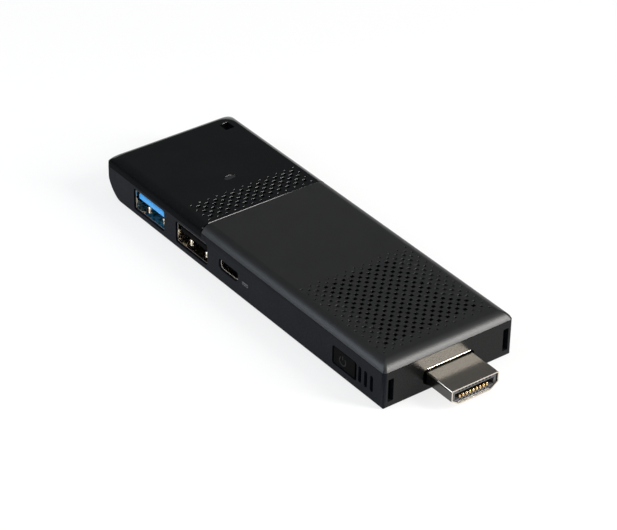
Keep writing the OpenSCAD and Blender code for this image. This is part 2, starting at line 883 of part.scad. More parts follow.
module processor() {
    die_l = 9;
    die_w = 8;
    color("#2b5a44") union() {
        along_z(board_top, board_top + substrate_t)
            translate([processor_x, 0]) square(processor_w, center = true);
        along_z(board_top + substrate_t, board_top + substrate_t + die_t)
            translate([processor_x, 0]) square([die_l, die_w], center = true);
    }
}

module memory_chips() {
    chip_l = 11;
    chip_w = 8;
    chip_t = 0.8;
    spread = 6;
    color("#1a1a1b") for (x = [processor_x - spread, processor_x + spread])
        for (y = [-spread, spread])
            block(
                [x - chip_l / 2, y - chip_w / 2, board_z - chip_t],
                [x + chip_l / 2, y + chip_w / 2, board_z]
            );
}

module storage_chip() {
    chip_l = 11.5;
    chip_w = 13;
    chip_t = 1;
    y0 = 1;
    color("#1d1d1e")
        block([card_at - chip_l / 2, y0, board_z - chip_t], [card_at + chip_l / 2, y0 + chip_w, board_z]);
}

// Three coils in a row behind the power inlet, and the chip that drives them
coil_w = 4;
coil_pitch = 4.8;
coil_count = 3;
coil_shift = 4.2;
coil_x = inlet_at - coil_shift;
coil_inlet_gap = 2.35;
coil_y0 = inlet_y1 + coil_inlet_gap + coil_w / 2;

module power_controller() {
    chip_w = 6;
    chip_t = 0.9;
    coil_gap = 2;
    x1 = coil_x + coil_w / 2;
    y0 = coil_y0 + (coil_count - 1) * coil_pitch + coil_w / 2 + coil_gap;
    color("#202022")
        block([x1 - chip_w, y0, board_top], [x1, y0 + chip_w, board_top + chip_t]);
}

module power_coils() {
    coil_h = 1.6;
    coil_corner_r = 0.8;
    recess_r = 0.7;
    color("#4a4a4d") for (i = [0 : coil_count - 1])
        translate([coil_x, coil_y0 + i * coil_pitch]) along_z(board_top, board_top + coil_h) difference() {
            round_rect(-coil_w / 2, -coil_w / 2, coil_w / 2, coil_w / 2, coil_corner_r);
            circle(recess_r);
        }
}

module wireless_can() {
    can_l = 12;
    can_w = 11;
    can_h = 1.6;
    can_t = 0.2;
    can_corner_r = 0.6;
    socket_room = 2.15;
    x0 = blue_at - can_l / 2;
    y0 = socket_y1 + socket_room;
    color("#b9bbbd") difference() {
        along_z(board_top, board_top + can_h) round_rect(x0, y0, x0 + can_l, y0 + can_w, can_corner_r);
        block(
            [x0 + can_t, y0 + can_t, board_top - over],
            [x0 + can_l - can_t, y0 + can_w - can_t, board_top + can_h - can_t]
        );
    }
}

// Bent strip on two legs that stands on the board
strip_t = 0.3;
strip_h = 3.4;

module aerial(strip_l) {
    leg_w = 1.2;
    leg_x = strip_l * 0.3;
    difference() {
        rect(0, 0, strip_l, strip_h);
        rect(leg_w, -over, leg_x, strip_h - leg_w);
        rect(leg_x + leg_w, -over, strip_l + over, strip_h - leg_w);
    }
}

module rear_aerial() {
    strip_l = 18;
    edge_gap = 0.6;
    side_gap = 5.5;
    color("#c8a95a") translate([board_x0 + edge_gap, side_gap - board_w / 2, board_top])
        along_x(0, strip_t) aerial(strip_l);
}

module side_aerial() {
    strip_l = 10;
    edge_gap = 1;
    rear_gap = 12.7;
    color("#c8a95a") translate([board_x0 + rear_gap, board_w / 2 - edge_gap, board_top])
        along_y(0, strip_t) aerial(strip_l);
}

module status_led() {
    led_l = 1.6;
    led_w = 0.8;
    color("#f0f2ec")
        block(
            [light_at - led_w / 2, -led_l / 2, board_top],
            [light_at + led_w / 2, led_l / 2, board_top + led_h]
        );
}

// Cooling: pad, spreader, fins and blower

module thermal_pad() {
    pad_w = 8;
    color("#8fa3b0") along_z(board_top + substrate_t + die_t, spreader_z0)
        translate([processor_x, 0]) square(pad_w, center = true);
}

module heat_spreader() {
    spreader_corner_r = 1;
    color("#b87a55") along_z(spreader_z0, spreader_z1) difference() {
        round_rect(spreader_x0, -spreader_w / 2, spreader_x1, spreader_w / 2, spreader_corner_r);
        for (at = concat(posts_at, blower_holes))
            translate(at) circle(screw_r + screw_gap);
    }
}

module spreader_posts() {
    color("#c9b06a") for (at = posts_at)
        difference() {
            post(at, board_top, spreader_z0, post_r);
            post(at, board_top - over, spreader_z0 + over, screw_r + screw_gap);
        }
}

module spreader_screws() {
    foot_gap = 0.2;
    shank_l = spreader_z1 - board_top - foot_gap;
    color("#8d9094") for (at = posts_at)
        screw(at, spreader_z1, shank_l, screw_r, screw_head_r, screw_head_h);
}

module fin_stack() {
    base_t = 0.3;
    fin_t = 0.3;
    fin_pitch = 1.3;
    duct_gap = 0.4;
    half = spreader_w / 2 - fin_t;
    fins = floor((2 * half - fin_t) / fin_pitch);
    color("#b9bbbe") along_x(blower_x1 + duct_gap, spreader_x1) union() {
        rect(-half, spreader_z1, half, spreader_z1 + base_t);
        for (i = [0 : fins])
            rect(
                (i - fins / 2) * fin_pitch - fin_t / 2, spreader_z1,
                (i - fins / 2) * fin_pitch + fin_t / 2, blower_z1
            );
    }
}

module blower_square() {
    blower_corner_r = 1.2;
    round_rect(blower_x0, -blower_w / 2, blower_x1, blower_w / 2, blower_corner_r);
}

module blower_housing() {
    outlet_top = volute_r * 0.45;
    color("#2a2a2c") union() {
        along_z(spreader_z1, blower_floor) difference() {
            blower_square();
            for (at = blower_holes)
                translate(at) circle(screw_r + screw_gap);
        }
        along_z(blower_floor, blower_plate_z) difference() {
            blower_square();
            translate([blower_x, 0]) circle(volute_r);
            rect(blower_x, -volute_r, blower_x1 + over, outlet_top);
            for (at = blower_holes)
                translate(at) circle(screw_r + screw_gap);
        }
        along_z(blower_floor, blower_floor + stator_h) translate([blower_x, 0]) difference() {
            circle(collar_r);
            circle(sleeve_r);
        }
    }
}

module blower_plate() {
    color("#3a3a3c") along_z(blower_plate_z, blower_z1) difference() {
        blower_square();
        translate([blower_x, 0]) circle(inlet_r);
        for (at = blower_holes)
            translate(at) circle(screw_head_r + screw_gap);
    }
}

module blower_sleeve() {
    fit = 0.02;
    color("#c4a24e") along_z(blower_floor, blower_floor + stator_h) translate([blower_x, 0]) difference() {
        circle(sleeve_r - fit);
        circle(shaft_r + shaft_gap);
    }
}

module blower_stator() {
    poles = 6;
    pole_w = 1.2;
    fit = 0.03;
    core_t = 0.7;
    core_r = collar_r + core_t;
    color("#9c5f34") along_z(blower_floor, blower_floor + stator_h) translate([blower_x, 0]) difference() {
        union() {
            circle(core_r);
            for (i = [0 : poles - 1])
                rotate(i * 360 / poles) rect(0, -pole_w / 2, stator_r, pole_w / 2);
        }
        circle(collar_r + fit);
    }
}

module blower_shaft() {
    foot_gap = 0.05;
    tip_gap = 0.2;
    color("#d5d6d8") post([blower_x, 0], blower_floor + foot_gap, rotor_z1 - tip_gap, shaft_r);
}

// One backward-curved blade between the hub disc's rim and the tip
module blade() {
    root_gap = 2;
    root_r = hub_r + root_gap;
    arc_r = 7;
    blade_t = 0.4;
    intersection() {
        difference() {
            circle(rotor_r);
            circle(root_r);
        }
        translate([root_r, -arc_r]) difference() {
            circle(arc_r + blade_t / 2);
            circle(arc_r - blade_t / 2);
        }
        rect(0, -root_r, rotor_r, root_r);
    }
}

module blower_rotor() {
    press = 0.02;
    color("#26272a") translate([blower_x, 0, 0]) union() {
        along_z(rotor_z0, rotor_z1) difference() {
            circle(hub_r);
            circle(hub_r - hub_wall);
        }
        along_z(rotor_z1 - hub_wall, rotor_z1) difference() {
            circle(hub_r);
            circle(shaft_r + press);
        }
        along_z(rotor_z0, rotor_z0 + rotor_disc_t) difference() {
            circle(rotor_r - blade_overhang);
            circle(hub_r - hub_wall / 2);
        }
        along_z(rotor_z0, rotor_z1) for (i = [0 : blade_count - 1])
            rotate(i * 360 / blade_count) blade();
    }
}

module blower_screws() {
    shank_l = blower_plate_z - spreader_z1;
    head_gap = 0.05;
    head_h = blower_plate_t - head_gap;
    color("#8d9094") for (at = blower_holes)
        screw(at, blower_plate_z, shank_l, screw_r, screw_head_r, head_h);
}

module foam_ring() {
    ring_w = 2.4;
    color("#333436") along_z(blower_z1, blower_z1 + foam_t) translate([blower_x, 0]) difference() {
        circle(inlet_r + ring_w);
        circle(inlet_r);
    }
}

// Video plug

// Wide side up, with slanted lower corners and rounded upper ones
module plug_outline(inset) {
    half = plug_w / 2 - inset;
    low = board_mid - plug_h / 2 + inset;
    high = board_mid + plug_h / 2 - inset;
    slant = sqrt(plug_corner_w * plug_corner_w + plug_corner_h * plug_corner_h);
    side_z = low - inset + plug_corner_h + inset * (slant - plug_corner_h) / plug_corner_w;
    foot_y = half + inset - plug_corner_w - inset * (slant - plug_corner_w) / plug_corner_h;
    least_r = 0.1;
    edge_r = max(plug_edge_r - inset, least_r);
    difference() {
        polygon([
            [-half, high], [half, high], [half, side_z],
            [foot_y, low], [-foot_y, low], [-half, side_z]
        ]);
        for (s = [-1, 1])
            arc_corner(s * (half - edge_r), high - edge_r, edge_r, s, 1);
    }
}

module plug_shell() {
    tab_l = 3;
    tab_w = 1.8;
    tab_lap = 1;
    color("#b5aca0") union() {
        along_x(plug_x0, plug_x1) difference() {
            plug_outline(0);
            plug_outline(plug_sheet_t);
        }
        for (s = [-1, 1])
            block(
                [plug_x0 - tab_l, s * (plug_w / 2 - tab_w / 2) - tab_w / 2, board_top],
                [plug_x0 + tab_lap, s * (plug_w / 2 - tab_w / 2) + tab_w / 2, board_top + plug_sheet_t]
            );
    }
}

function plug_contact_y(i, count) = (i - (count - 1) / 2) * plug_pitch;

module plug_insulator() {
    clear = 0.05;
    mouth = 0.4;
    root_gap = 1.2;
    notch_d = 0.8;
    notch_h = 0.45;
    notch_w = plug_pitch * 0.55;
    x1 = plug_x1 - mouth;
    color("#1c1c1d") difference() {
        along_x(plug_x0 + root_gap, x1) difference() {
            plug_outline(plug_sheet_t + clear);
            rect(
                -plug_slot_w / 2, board_mid - plug_slot_h / 2,
                plug_slot_w / 2, board_mid + plug_slot_h / 2
            );
        }
        for (row = [0, 1])
            for (i = [0 : plug_rows[row] - 1])
                translate([
                    x1, plug_contact_y(i, plug_rows[row]),
                    board_mid + (row == 0 ? 1 : -1) * (plug_slot_h / 2 + notch_h)
                ])
                    cube([2 * notch_d, notch_w, notch_h], center = true);
    }
}

// One contact: a strip along the slot's face, and a foot on the board
module plug_contact(y, side) {
    foot_l = 2;
    mouth = 0.9;
    face = board_mid + side * plug_slot_h / 2;
    strip = face - side * plug_contact_t;
    board_face = board_mid + side * board_t / 2;
    z0 = min(face, strip);
    block(
        [board_x1 - foot_l, y - plug_contact_w / 2, z0],
        [plug_x1 - mouth, y + plug_contact_w / 2, z0 + plug_contact_t]
    );
    block(
        [board_x1 - foot_l, y - plug_contact_w / 2, min(face, board_face)],
        [board_x1, y + plug_contact_w / 2, max(face, board_face)]
    );
}

module plug_contacts() {
    color("#d9b36a") for (row = [0, 1])
        for (i = [0 : plug_rows[row] - 1])
            plug_contact(plug_contact_y(i, plug_rows[row]), row == 0 ? 1 : -1);
}

// Port-side sockets

module socket_outline(at, inset, r) {
    round_rect(
        at - socket_w / 2 + inset, socket_z - socket_h / 2 + inset,
        at + socket_w / 2 - inset, socket_z + socket_h / 2 - inset, r
    );
}

// Profile of a spring finger that bulges from its wall at zero
module finger_profile() {
    root = -sheet_t / 2;
    bulge = 0.55;
    polygon([[1.4, root], [2.3, bulge], [3, bulge], [5.6, root]]);
}

module socket_shell(at) {
    finger_w = 1.6;
    finger_x = socket_w * 0.25;
    inner_half = socket_w / 2 - sheet_t;
    tab_w = 1.3;
    tab_l = 3;
    tab_y = socket_y1 - socket_block_l - tab_w - sheet_t;
    union() {
        along_y(socket_y0, socket_y1) difference() {
            socket_outline(at, 0, socket_corner_r);
            socket_outline(at, sheet_t, socket_corner_r - sheet_t);
        }
        for (s = [-1, 1]) {
            translate([at + s * finger_x - finger_w / 2, socket_y0, socket_z - socket_h / 2 + sheet_t])
                along_x(0, finger_w) finger_profile();
            translate([at + s * inner_half, socket_y0, socket_z - finger_w / 2])
                mirror([s > 0 ? 1 : 0, 0, 0]) rotate([0, 0, 90]) mirror([0, 1, 0])
                    along_z(0, finger_w) finger_profile();
            block(
                [at + (s < 0 ? -socket_w / 2 - tab_w : inner_half), tab_y, board_top],
                [at + (s < 0 ? -inner_half : socket_w / 2 + tab_w), tab_y + tab_l, board_top + sheet_t]
            );
        }
    }
}

module socket_tongue(at) {
    clear = 0.08;
    lead = 0.45;
    nose = 0.35;
    block_corner_r = 0.2;
    inset = sheet_t + clear;
    tip_y = socket_y0 + lead;
    block_y0 = socket_y1 - socket_block_l;
    union() {
        along_y(block_y0, socket_y1) socket_outline(at, inset, block_corner_r);
        along_x(at - tongue_w / 2, at + tongue_w / 2) polygon([
            [block_y0 + over, tongue_z0], [tip_y + nose, tongue_z0], [tip_y, tongue_z0 + nose],
            [tip_y, tongue_z1 - nose], [tip_y + nose, tongue_z1], [block_y0 + over, tongue_z1]
        ]);
    }
}

// Row of flat contacts under the tongue
module contact_row(at, places, w, y0, y1) {
    contact_t = 0.15;
    for (x = places)
        block([at + x - w / 2, y0, tongue_z0 - contact_t], [at + x + w / 2, y1, tongue_z0]);
}

long_contacts = [-3.5, -1, 1, 3.5];
short_contacts = [-4, -2, 0, 2, 4];
contact_lead = 1.2;
short_end = 2.7;
row_gap = 0.5;

module blue_socket_shell() {
    color("#b9b4ac") socket_shell(blue_at);
}

module blue_socket_tongue() {
    color("#2f8fe8") socket_tongue(blue_at);
}

module blue_socket_contacts() {
    color("#d9b36a") union() {
        contact_row(blue_at, long_contacts, 1, socket_y0 + short_end + row_gap, socket_y1 - socket_block_l);
        contact_row(blue_at, short_contacts, 0.7, socket_y0 + contact_lead, socket_y0 + short_end);
    }
}

module black_socket_shell() {
    color("#b9b4ac") socket_shell(black_at);
}

module black_socket_tongue() {
    color("#232324") socket_tongue(black_at);
}

module black_socket_contacts() {
    color("#d9b36a")
        contact_row(black_at, long_contacts, 1, socket_y0 + contact_lead, socket_y1 - socket_block_l);
}

module inlet_shell() {
    inlet_sheet_t = 0.25;
    color("#b9b4ac") along_y(inlet_y0, inlet_y1) difference() {
        inlet_outline(0);
        inlet_outline(-inlet_sheet_t);
    }
}

module inlet_tongue() {
    inset = 0.3;
    block_l = 1.2;
    tongue_half = 1.9;
    tongue_h = 0.6;
    lead = 0.7;
    block_y0 = inlet_y1 - block_l;
    color("#202021") union() {
        along_y(block_y0, inlet_y1) inlet_outline(-inset);
        block(
            [inlet_at - tongue_half, inlet_y0 + lead, inlet_z],
            [inlet_at + tongue_half, block_y0 + block_l / 2, inlet_z + tongue_h]
        );
    }
}

// Card socket behind the slot in the far wall

module card_socket_shell() {
    z1 = board_top + card_socket_h;
    half = card_socket_w / 2;
    color("#b4b2ad") along_y(card_y0, card_y1) difference() {
        rect(card_at - half, board_top, card_at + half, z1);
        rect(
            card_at - half + card_sheet_t, board_top - over,
            card_at + half - card_sheet_t, z1 - card_sheet_t
        );
    }
}

module card_socket_base() {
    half = card_socket_w / 2 - card_sheet_t;
    rail = (card_socket_w - card_slot_w) / 2 - card_sheet_t;
    rail_z = board_top + card_base_t + card_slot_h;
    stop_l = 0.8;
    color("#262627") union() {
        block([card_at - half, card_y0, board_top], [card_at + half, card_y1, board_top + card_base_t]);
        block([card_at - half, card_y0, board_top], [card_at - half + rail, card_y1, rail_z]);
        block([card_at + half - rail, card_y0, board_top], [card_at + half, card_y1, rail_z]);
        block([card_at - half, card_y0, board_top], [card_at + half, card_y0 + stop_l, rail_z]);
    }
}

module card_contacts() {
    count = 8;
    pitch = 1.1;
    strip_w = 0.5;
    strip_l = 4;
    strip_h = 0.3;
    strip_y = card_y0 + 2;
    color("#d9b36a") for (i = [0 : count - 1])
        translate([card_at + (i - (count - 1) / 2) * pitch - strip_w / 2, strip_y, board_top + card_base_t])
            along_x(0, strip_w)
                polygon([[0, 0], [0, 0.15], [strip_l - 1, strip_h], [strip_l, 0.1], [strip_l, 0]]);
}

lower_case();
front_cover();
rear_cover();
light_pipe();
power_button();
switch_body();
switch_dome();
switch_plunger();
main_board();
board_screws();
processor();
memory_chips();
storage_chip();
power_controller();
power_coils();
wireless_can();
rear_aerial();
side_aerial();
status_led();
thermal_pad();
heat_spreader();
spreader_posts();
spreader_screws();
fin_stack();
blower_housing();
blower_plate();
blower_stator();
blower_sleeve();
blower_shaft();
blower_rotor();
blower_screws();
foam_ring();
plug_shell();
plug_insulator();
plug_contacts();
blue_socket_shell();
blue_socket_tongue();
blue_socket_contacts();
black_socket_shell();
black_socket_tongue();
black_socket_contacts();
inlet_shell();
inlet_tongue();
card_socket_shell();
card_socket_base();
card_contacts();
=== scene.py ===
from collections import namedtuple
from math import acos, asin, atan2, cos, pi, radians, sin, sqrt

import bmesh
import bpy
from mathutils import Matrix, Vector


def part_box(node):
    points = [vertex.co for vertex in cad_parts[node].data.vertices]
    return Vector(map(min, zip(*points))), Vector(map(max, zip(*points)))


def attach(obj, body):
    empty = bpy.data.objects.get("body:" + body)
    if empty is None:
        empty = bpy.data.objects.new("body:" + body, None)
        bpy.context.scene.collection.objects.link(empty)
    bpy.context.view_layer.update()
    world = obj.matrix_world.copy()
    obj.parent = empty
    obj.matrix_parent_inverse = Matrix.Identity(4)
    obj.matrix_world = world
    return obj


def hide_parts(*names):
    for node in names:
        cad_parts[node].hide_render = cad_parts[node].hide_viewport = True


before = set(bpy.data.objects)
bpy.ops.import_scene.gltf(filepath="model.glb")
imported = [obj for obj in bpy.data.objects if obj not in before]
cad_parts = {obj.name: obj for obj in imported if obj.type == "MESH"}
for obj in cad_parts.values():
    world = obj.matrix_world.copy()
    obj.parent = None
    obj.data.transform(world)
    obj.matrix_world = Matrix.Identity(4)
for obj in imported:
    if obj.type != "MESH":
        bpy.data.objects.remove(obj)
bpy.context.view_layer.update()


# Lower case
# A deep tray of satin blue-black ABS that carries everything else. It is injection moulded in one piece;
# slides in the mould form the port openings, the air slots and the mouth for the plug.
MM = 0.001
NEAR = 0.03 * MM
MERGE_DIST = 0.002 * MM
CUT_DIST = 0.0001 * MM
SHARP_ANGLE = radians(32)
FLAT_ANGLE = radians(0.6)
NOISE_SPAN = (0.3, 0.7)
CLOUD_SIZE = 7


def new_finish(name):
    """A new material and its shader."""
    material = bpy.data.materials.new(name)
    material.use_nodes = True
    return material, material.node_tree.nodes["Principled BSDF"]


def coordinates(material, kind="Object"):
    """Each point's place on the piece, or the way its surface faces."""
    return material.node_tree.nodes.new("ShaderNodeTexCoord").outputs[kind]


def axes_of(material, kind="Object"):
    """The same, split into X, Y and Z."""
    split = material.node_tree.nodes.new("ShaderNodeSeparateXYZ")
    material.node_tree.links.new(coordinates(material, kind), split.inputs["Vector"])
    return split.outputs


def reckon(material, operation, *values):
    """A sum worked on other nodes' values and on plain numbers."""
    step = material.node_tree.nodes.new("ShaderNodeMath")
    step.operation = operation
    for socket, value in zip(step.inputs, values):
        if isinstance(value, bpy.types.NodeSocket):
            material.node_tree.links.new(value, socket)
        else:
            socket.default_value = value
    return step.outputs["Value"]


def stretch(material, value, span, result=(0, 1)):
    """Maps a span of a value on to a span of results, and holds it at the ends."""
    level = material.node_tree.nodes.new("ShaderNodeMapRange")
    for name, number in zip(("From Min", "From Max", "To Min", "To Max"), (*span, *result)):
        level.inputs[name].default_value = number
    material.node_tree.links.new(value, level.inputs["Value"])
    return level.outputs["Result"]


def noise(material, place, size, detail, roughness=0.5):
    """A cloudy pattern, with blots of about the size given in millimetres."""
    pattern = material.node_tree.nodes.new("ShaderNodeTexNoise")
    pattern.inputs["Scale"].default_value = 1 / (size * MM)
    pattern.inputs["Detail"].default_value = detail
    pattern.inputs["Roughness"].default_value = roughness
    material.node_tree.links.new(place, pattern.inputs["Vector"])
    return pattern.outputs["Fac"]


def tint_by(material, pattern, dark, light):
    """Lets the colour go from dark to light with a pattern, over the span where most of its values lie."""
    nodes, links = material.node_tree.nodes, material.node_tree.links
    shades = nodes.new("ShaderNodeValToRGB")
    for stop, position, colour in zip(shades.color_ramp.elements, NOISE_SPAN, (dark, light)):
        stop.position = position
        stop.color = (*colour, 1)
    links.new(pattern, shades.inputs["Fac"])
    links.new(shades.outputs["Color"], nodes["Principled BSDF"].inputs["Base Color"])


def raise_by(material, pattern, strength, height):
    """Lets the surface rise and fall with a pattern, by a height in millimetres."""
    nodes, links = material.node_tree.nodes, material.node_tree.links
    bump = nodes.new("ShaderNodeBump")
    bump.inputs["Strength"].default_value = strength
    bump.inputs["Distance"].default_value = height * MM
    links.new(pattern, bump.inputs["Height"])
    links.new(bump.outputs["Normal"], nodes["Principled BSDF"].inputs["Normal"])


def moulded(name, dark, light, rough, grain, relief, shine=0.5):
    """Moulded plastic: two close shades, and the mould's eroded grain as relief and as gloss."""
    material, shader = new_finish(name)
    shader.inputs["Specular IOR Level"].default_value = shine
    place = coordinates(material)
    tint_by(material, noise(material, place, CLOUD_SIZE, detail=4), dark, light)
    pits = noise(material, place, grain, detail=3, roughness=0.6)
    material.node_tree.links.new(stretch(material, pits, NOISE_SPAN, rough), shader.inputs["Roughness"])
    raise_by(material, pits, strength=0.6, height=relief)
    return material


def paint_over(material, share, colour):
    """Mixes a colour over the material's own, by the share that a node gives."""
    nodes, links = material.node_tree.nodes, material.node_tree.links
    base = nodes["Principled BSDF"].inputs["Base Color"]
    painted = nodes.new("ShaderNodeMixRGB")
    painted.inputs["Color2"].default_value = (*colour, 1)
    links.new(share, painted.inputs["Fac"])
    links.new(base.links[0].from_socket, painted.inputs["Color1"])
    links.new(painted.outputs["Color"], base)


def grade_shine(material, axis, span, shine):
    """Lets the shine change along an axis, as a mould that is polished more at one end leaves it."""
    own = material.node_tree.nodes["Principled BSDF"].inputs["Specular IOR Level"]
    level = stretch(material, axes_of(material)[axis], span, (own.default_value, shine))
    material.node_tree.links.new(level, own)


def print_bars(material, ink, bars):
    """Pad-prints upright rectangles on the port side, each given by its middle and half sizes in x and z."""
    place = axes_of(material)
    on_wall = reckon(material, "COMPARE", place["Y"], case_low.y, INK_DEPTH)
    printed = 0
    for x, z, half_x, half_z in bars:
        across = reckon(material, "COMPARE", place["X"], x, half_x)
        up = reckon(material, "COMPARE", place["Z"], z, half_z)
        bar = reckon(material, "MULTIPLY", on_wall, reckon(material, "MULTIPLY", across, up))
        printed = reckon(material, "MAXIMUM", printed, bar)
    paint_over(material, printed, ink)


def finish_piece(bm, name, material, body, slot, *nodes, inner=None):
    """Turns a modelled piece, in metres, into an object that rides on a body and stands for CAD nodes."""
    mesh = bpy.data.meshes.new(name)
    bm.to_mesh(mesh)
    bm.free()
    mesh.materials.append(material)
    if inner:
        mesh.materials.append(inner)
    mesh.shade_smooth()
    mesh.set_sharp_from_angle(angle=SHARP_ANGLE)
    piece = bpy.data.objects.new(name, mesh)
    bpy.context.scene.collection.objects.link(piece)
    flats = piece.modifiers.new("flats stay flat", "WEIGHTED_NORMAL")
    flats.keep_sharp = True
    flats.weight = 100
    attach(piece, body)
    if nodes:
        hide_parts(*nodes)


def with_soft_edges(node, radius, chosen, adapt=None):
    """A merged copy of a CAD node whose chosen sharp edges are rounded as a mould or a press leaves them."""
    bm = bmesh.new()
    bm.from_mesh(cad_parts[node].data)
    bmesh.ops.remove_doubles(bm, verts=bm.verts, dist=MERGE_DIST)
    bmesh.ops.dissolve_limit(
        bm, angle_limit=FLAT_ANGLE, use_dissolve_boundaries=False, verts=bm.verts, edges=bm.edges,
        delimit=set()
    )
    if adapt:
        adapt(bm)
    sharp = [e for e in bm.edges if len(e.link_faces) == 2 and e.calc_face_angle() > SHARP_ANGLE]
    rims = [e for e in sharp if chosen((e.verts[0].co + e.verts[1].co) / 2)]
    bmesh.ops.bevel(
        bm, geom=rims, offset=radius, offset_type="OFFSET", affect="EDGES", segments=2, profile=0.5,
        material=-1, clamp_overlap=True
    )
    return bm


case_low, case_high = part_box("lower_case")
CASE_EDGE_R = 0.1 * MM
CASE_RIM_Z = 9.9 * MM
SKIRT_Z = 8.6 * MM
SKIRT_STEP = 0.01 * MM
SEAM_GAP = 0.3 * MM
seam_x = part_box("front_cover")[0].x - SEAM_GAP / 2


def make_room_for_skirt(bm):
    """Lowers the wall's rim behind the seam, where the polished cover reaches further down."""
    for x in (seam_x, seam_x - SKIRT_STEP):
        everything = bm.verts[:] + bm.edges[:] + bm.faces[:]
        bmesh.ops.bisect_plane(bm, geom=everything, dist=CUT_DIST, plane_co=(x, 0, 0), plane_no=(1, 0, 0))
    for v in bm.verts:
        if v.co.x < seam_x - SKIRT_STEP / 2 and abs(v.co.z - CASE_RIM_Z) < NEAR:
            v.co.z = SKIRT_Z


def on_case_skin(point):
    at_side = abs(abs(point.y) - case_high.y) < NEAR
    at_front = abs(point.x - case_high.x) < NEAR
    return at_side or at_front or point.z < NEAR


# The front wall's face is shinier and is painted a darker, neutral black as painted shade;
# the direct-current symbol is a line over three dashes.
front_skin = (case_high.x - 0.03 * MM, case_high.x - 0.01 * MM)
FRONT_SHINE = 0.15
FRONT_NEUTRAL_PAINTED_SHADE = (0.004, 0.004, 0.0038)
INK = (0.2, 0.2, 0.21)
INK_DEPTH = 0.05 * MM
CURRENT_X = -1.6 * MM
LINE_Z = 5.2 * MM
HALF_LINE = 1.2 * MM
DASH_Z = 4.65 * MM
HALF_DASH = 0.26 * MM
DASH_PITCH = 0.9 * MM
HALF_STROKE = 0.11 * MM
# The case's blue tint is painted cool light from the port side; the plastic itself is neutral.
case_plastic = moulded(
    "case_plastic", dark=(0.0062, 0.0076, 0.0106), light=(0.0082, 0.0098, 0.0132), rough=(0.22, 0.32),
    grain=0.16, relief=0.006, shine=0.03
)
grade_shine(case_plastic, "X", front_skin, FRONT_SHINE)
# Painted shade: the front face's colour is mixed to a darker, neutral black.
paint_over(case_plastic, stretch(case_plastic, axes_of(case_plastic)["X"], front_skin), FRONT_NEUTRAL_PAINTED_SHADE)
current_symbol = [(CURRENT_X, LINE_Z, HALF_LINE, HALF_STROKE)]
for i in (-1, 0, 1):
    current_symbol.append((CURRENT_X + i * DASH_PITCH, DASH_Z, HALF_DASH, HALF_STROKE))
print_bars(case_plastic, INK, current_symbol)
finish_piece(
    with_soft_edges("lower_case", CASE_EDGE_R, on_case_skin, make_room_for_skirt), "lower_case_moulding",
    case_plastic, "case", "case_plastic", "lower_case"
)


# Main board and what is soldered to it
# A glass-fibre board under dark green mask, with a processor package, memory, storage, a power stage,
# a tinned radio can, two bent aerials and a white light. Six steel screws hold it on the case's bosses.
LINE_SQUEEZE = 0.06


def dress(material, *nodes):
    """Gives CAD nodes that keep their own shape a finish."""
    for node in nodes:
        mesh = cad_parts[node].data
        mesh.materials.clear()
        mesh.materials.append(material)


def plated(name, dark, light, rough, streak, relief):
    """Bare or plated metal: a slight change of shade, and fine lines from rolling or drawing along X."""
    material, shader = new_finish(name)
    shader.inputs["Metallic"].default_value = 1
    along = material.node_tree.nodes.new("ShaderNodeMapping")
    along.inputs["Scale"].default_value = (LINE_SQUEEZE, 1, 1)
    material.node_tree.links.new(coordinates(material), along.inputs["Vector"])
    lines = noise(material, along.outputs["Vector"], streak, detail=4)
    tint_by(material, lines, dark, light)
    material.node_tree.links.new(stretch(material, lines, (0, 1), rough), shader.inputs["Roughness"])
    raise_by(material, lines, strength=0.4, height=relief)
    return material


board_mask = moulded(
    "board_mask", dark=(0.006, 0.03, 0.018), light=(0.012, 0.05, 0.03), rough=(0.3, 0.42),
    grain=0.5, relief=0.02
)
chip_resin = moulded(
    "chip_resin", dark=(0.012, 0.012, 0.013), light=(0.02, 0.02, 0.021), rough=(0.45, 0.6),
    grain=0.12, relief=0.01
)
chip_substrate = moulded(
    "chip_substrate", dark=(0.02, 0.08, 0.05), light=(0.03, 0.11, 0.07), rough=(0.3, 0.4),
    grain=0.3, relief=0.01
)
coil_ferrite = moulded(
    "coil_ferrite", dark=(0.05, 0.05, 0.055), light=(0.08, 0.08, 0.085), rough=(0.5, 0.7),
    grain=0.2, relief=0.02
)
white_plastic = moulded(
    "white_plastic", dark=(0.7, 0.7, 0.66), light=(0.8, 0.8, 0.77), rough=(0.35, 0.5),
    grain=0.2, relief=0.01
)
can_tin = plated(
    "can_tin", dark=(0.55, 0.56, 0.57), light=(0.68, 0.69, 0.7), rough=(0.28, 0.4),
    streak=0.12, relief=0.004
)
gold_contact = plated(
    "gold_contact", dark=(0.72, 0.5, 0.24), light=(0.86, 0.63, 0.33), rough=(0.16, 0.28),
    streak=0.1, relief=0.002
)
screw_steel = plated(
    "screw_steel", dark=(0.38, 0.39, 0.4), light=(0.5, 0.51, 0.53), rough=(0.25, 0.4),
    streak=0.1, relief=0.003
)
dress(board_mask, "main_board")
dress(chip_substrate, "processor")
dress(chip_resin, "memory_chips", "storage_chip", "power_controller")
dress(coil_ferrite, "power_coils")
dress(can_tin, "wireless_can")
dress(gold_contact, "rear_aerial", "side_aerial")
dress(white_plastic, "status_led")
dress(screw_steel, "board_screws")


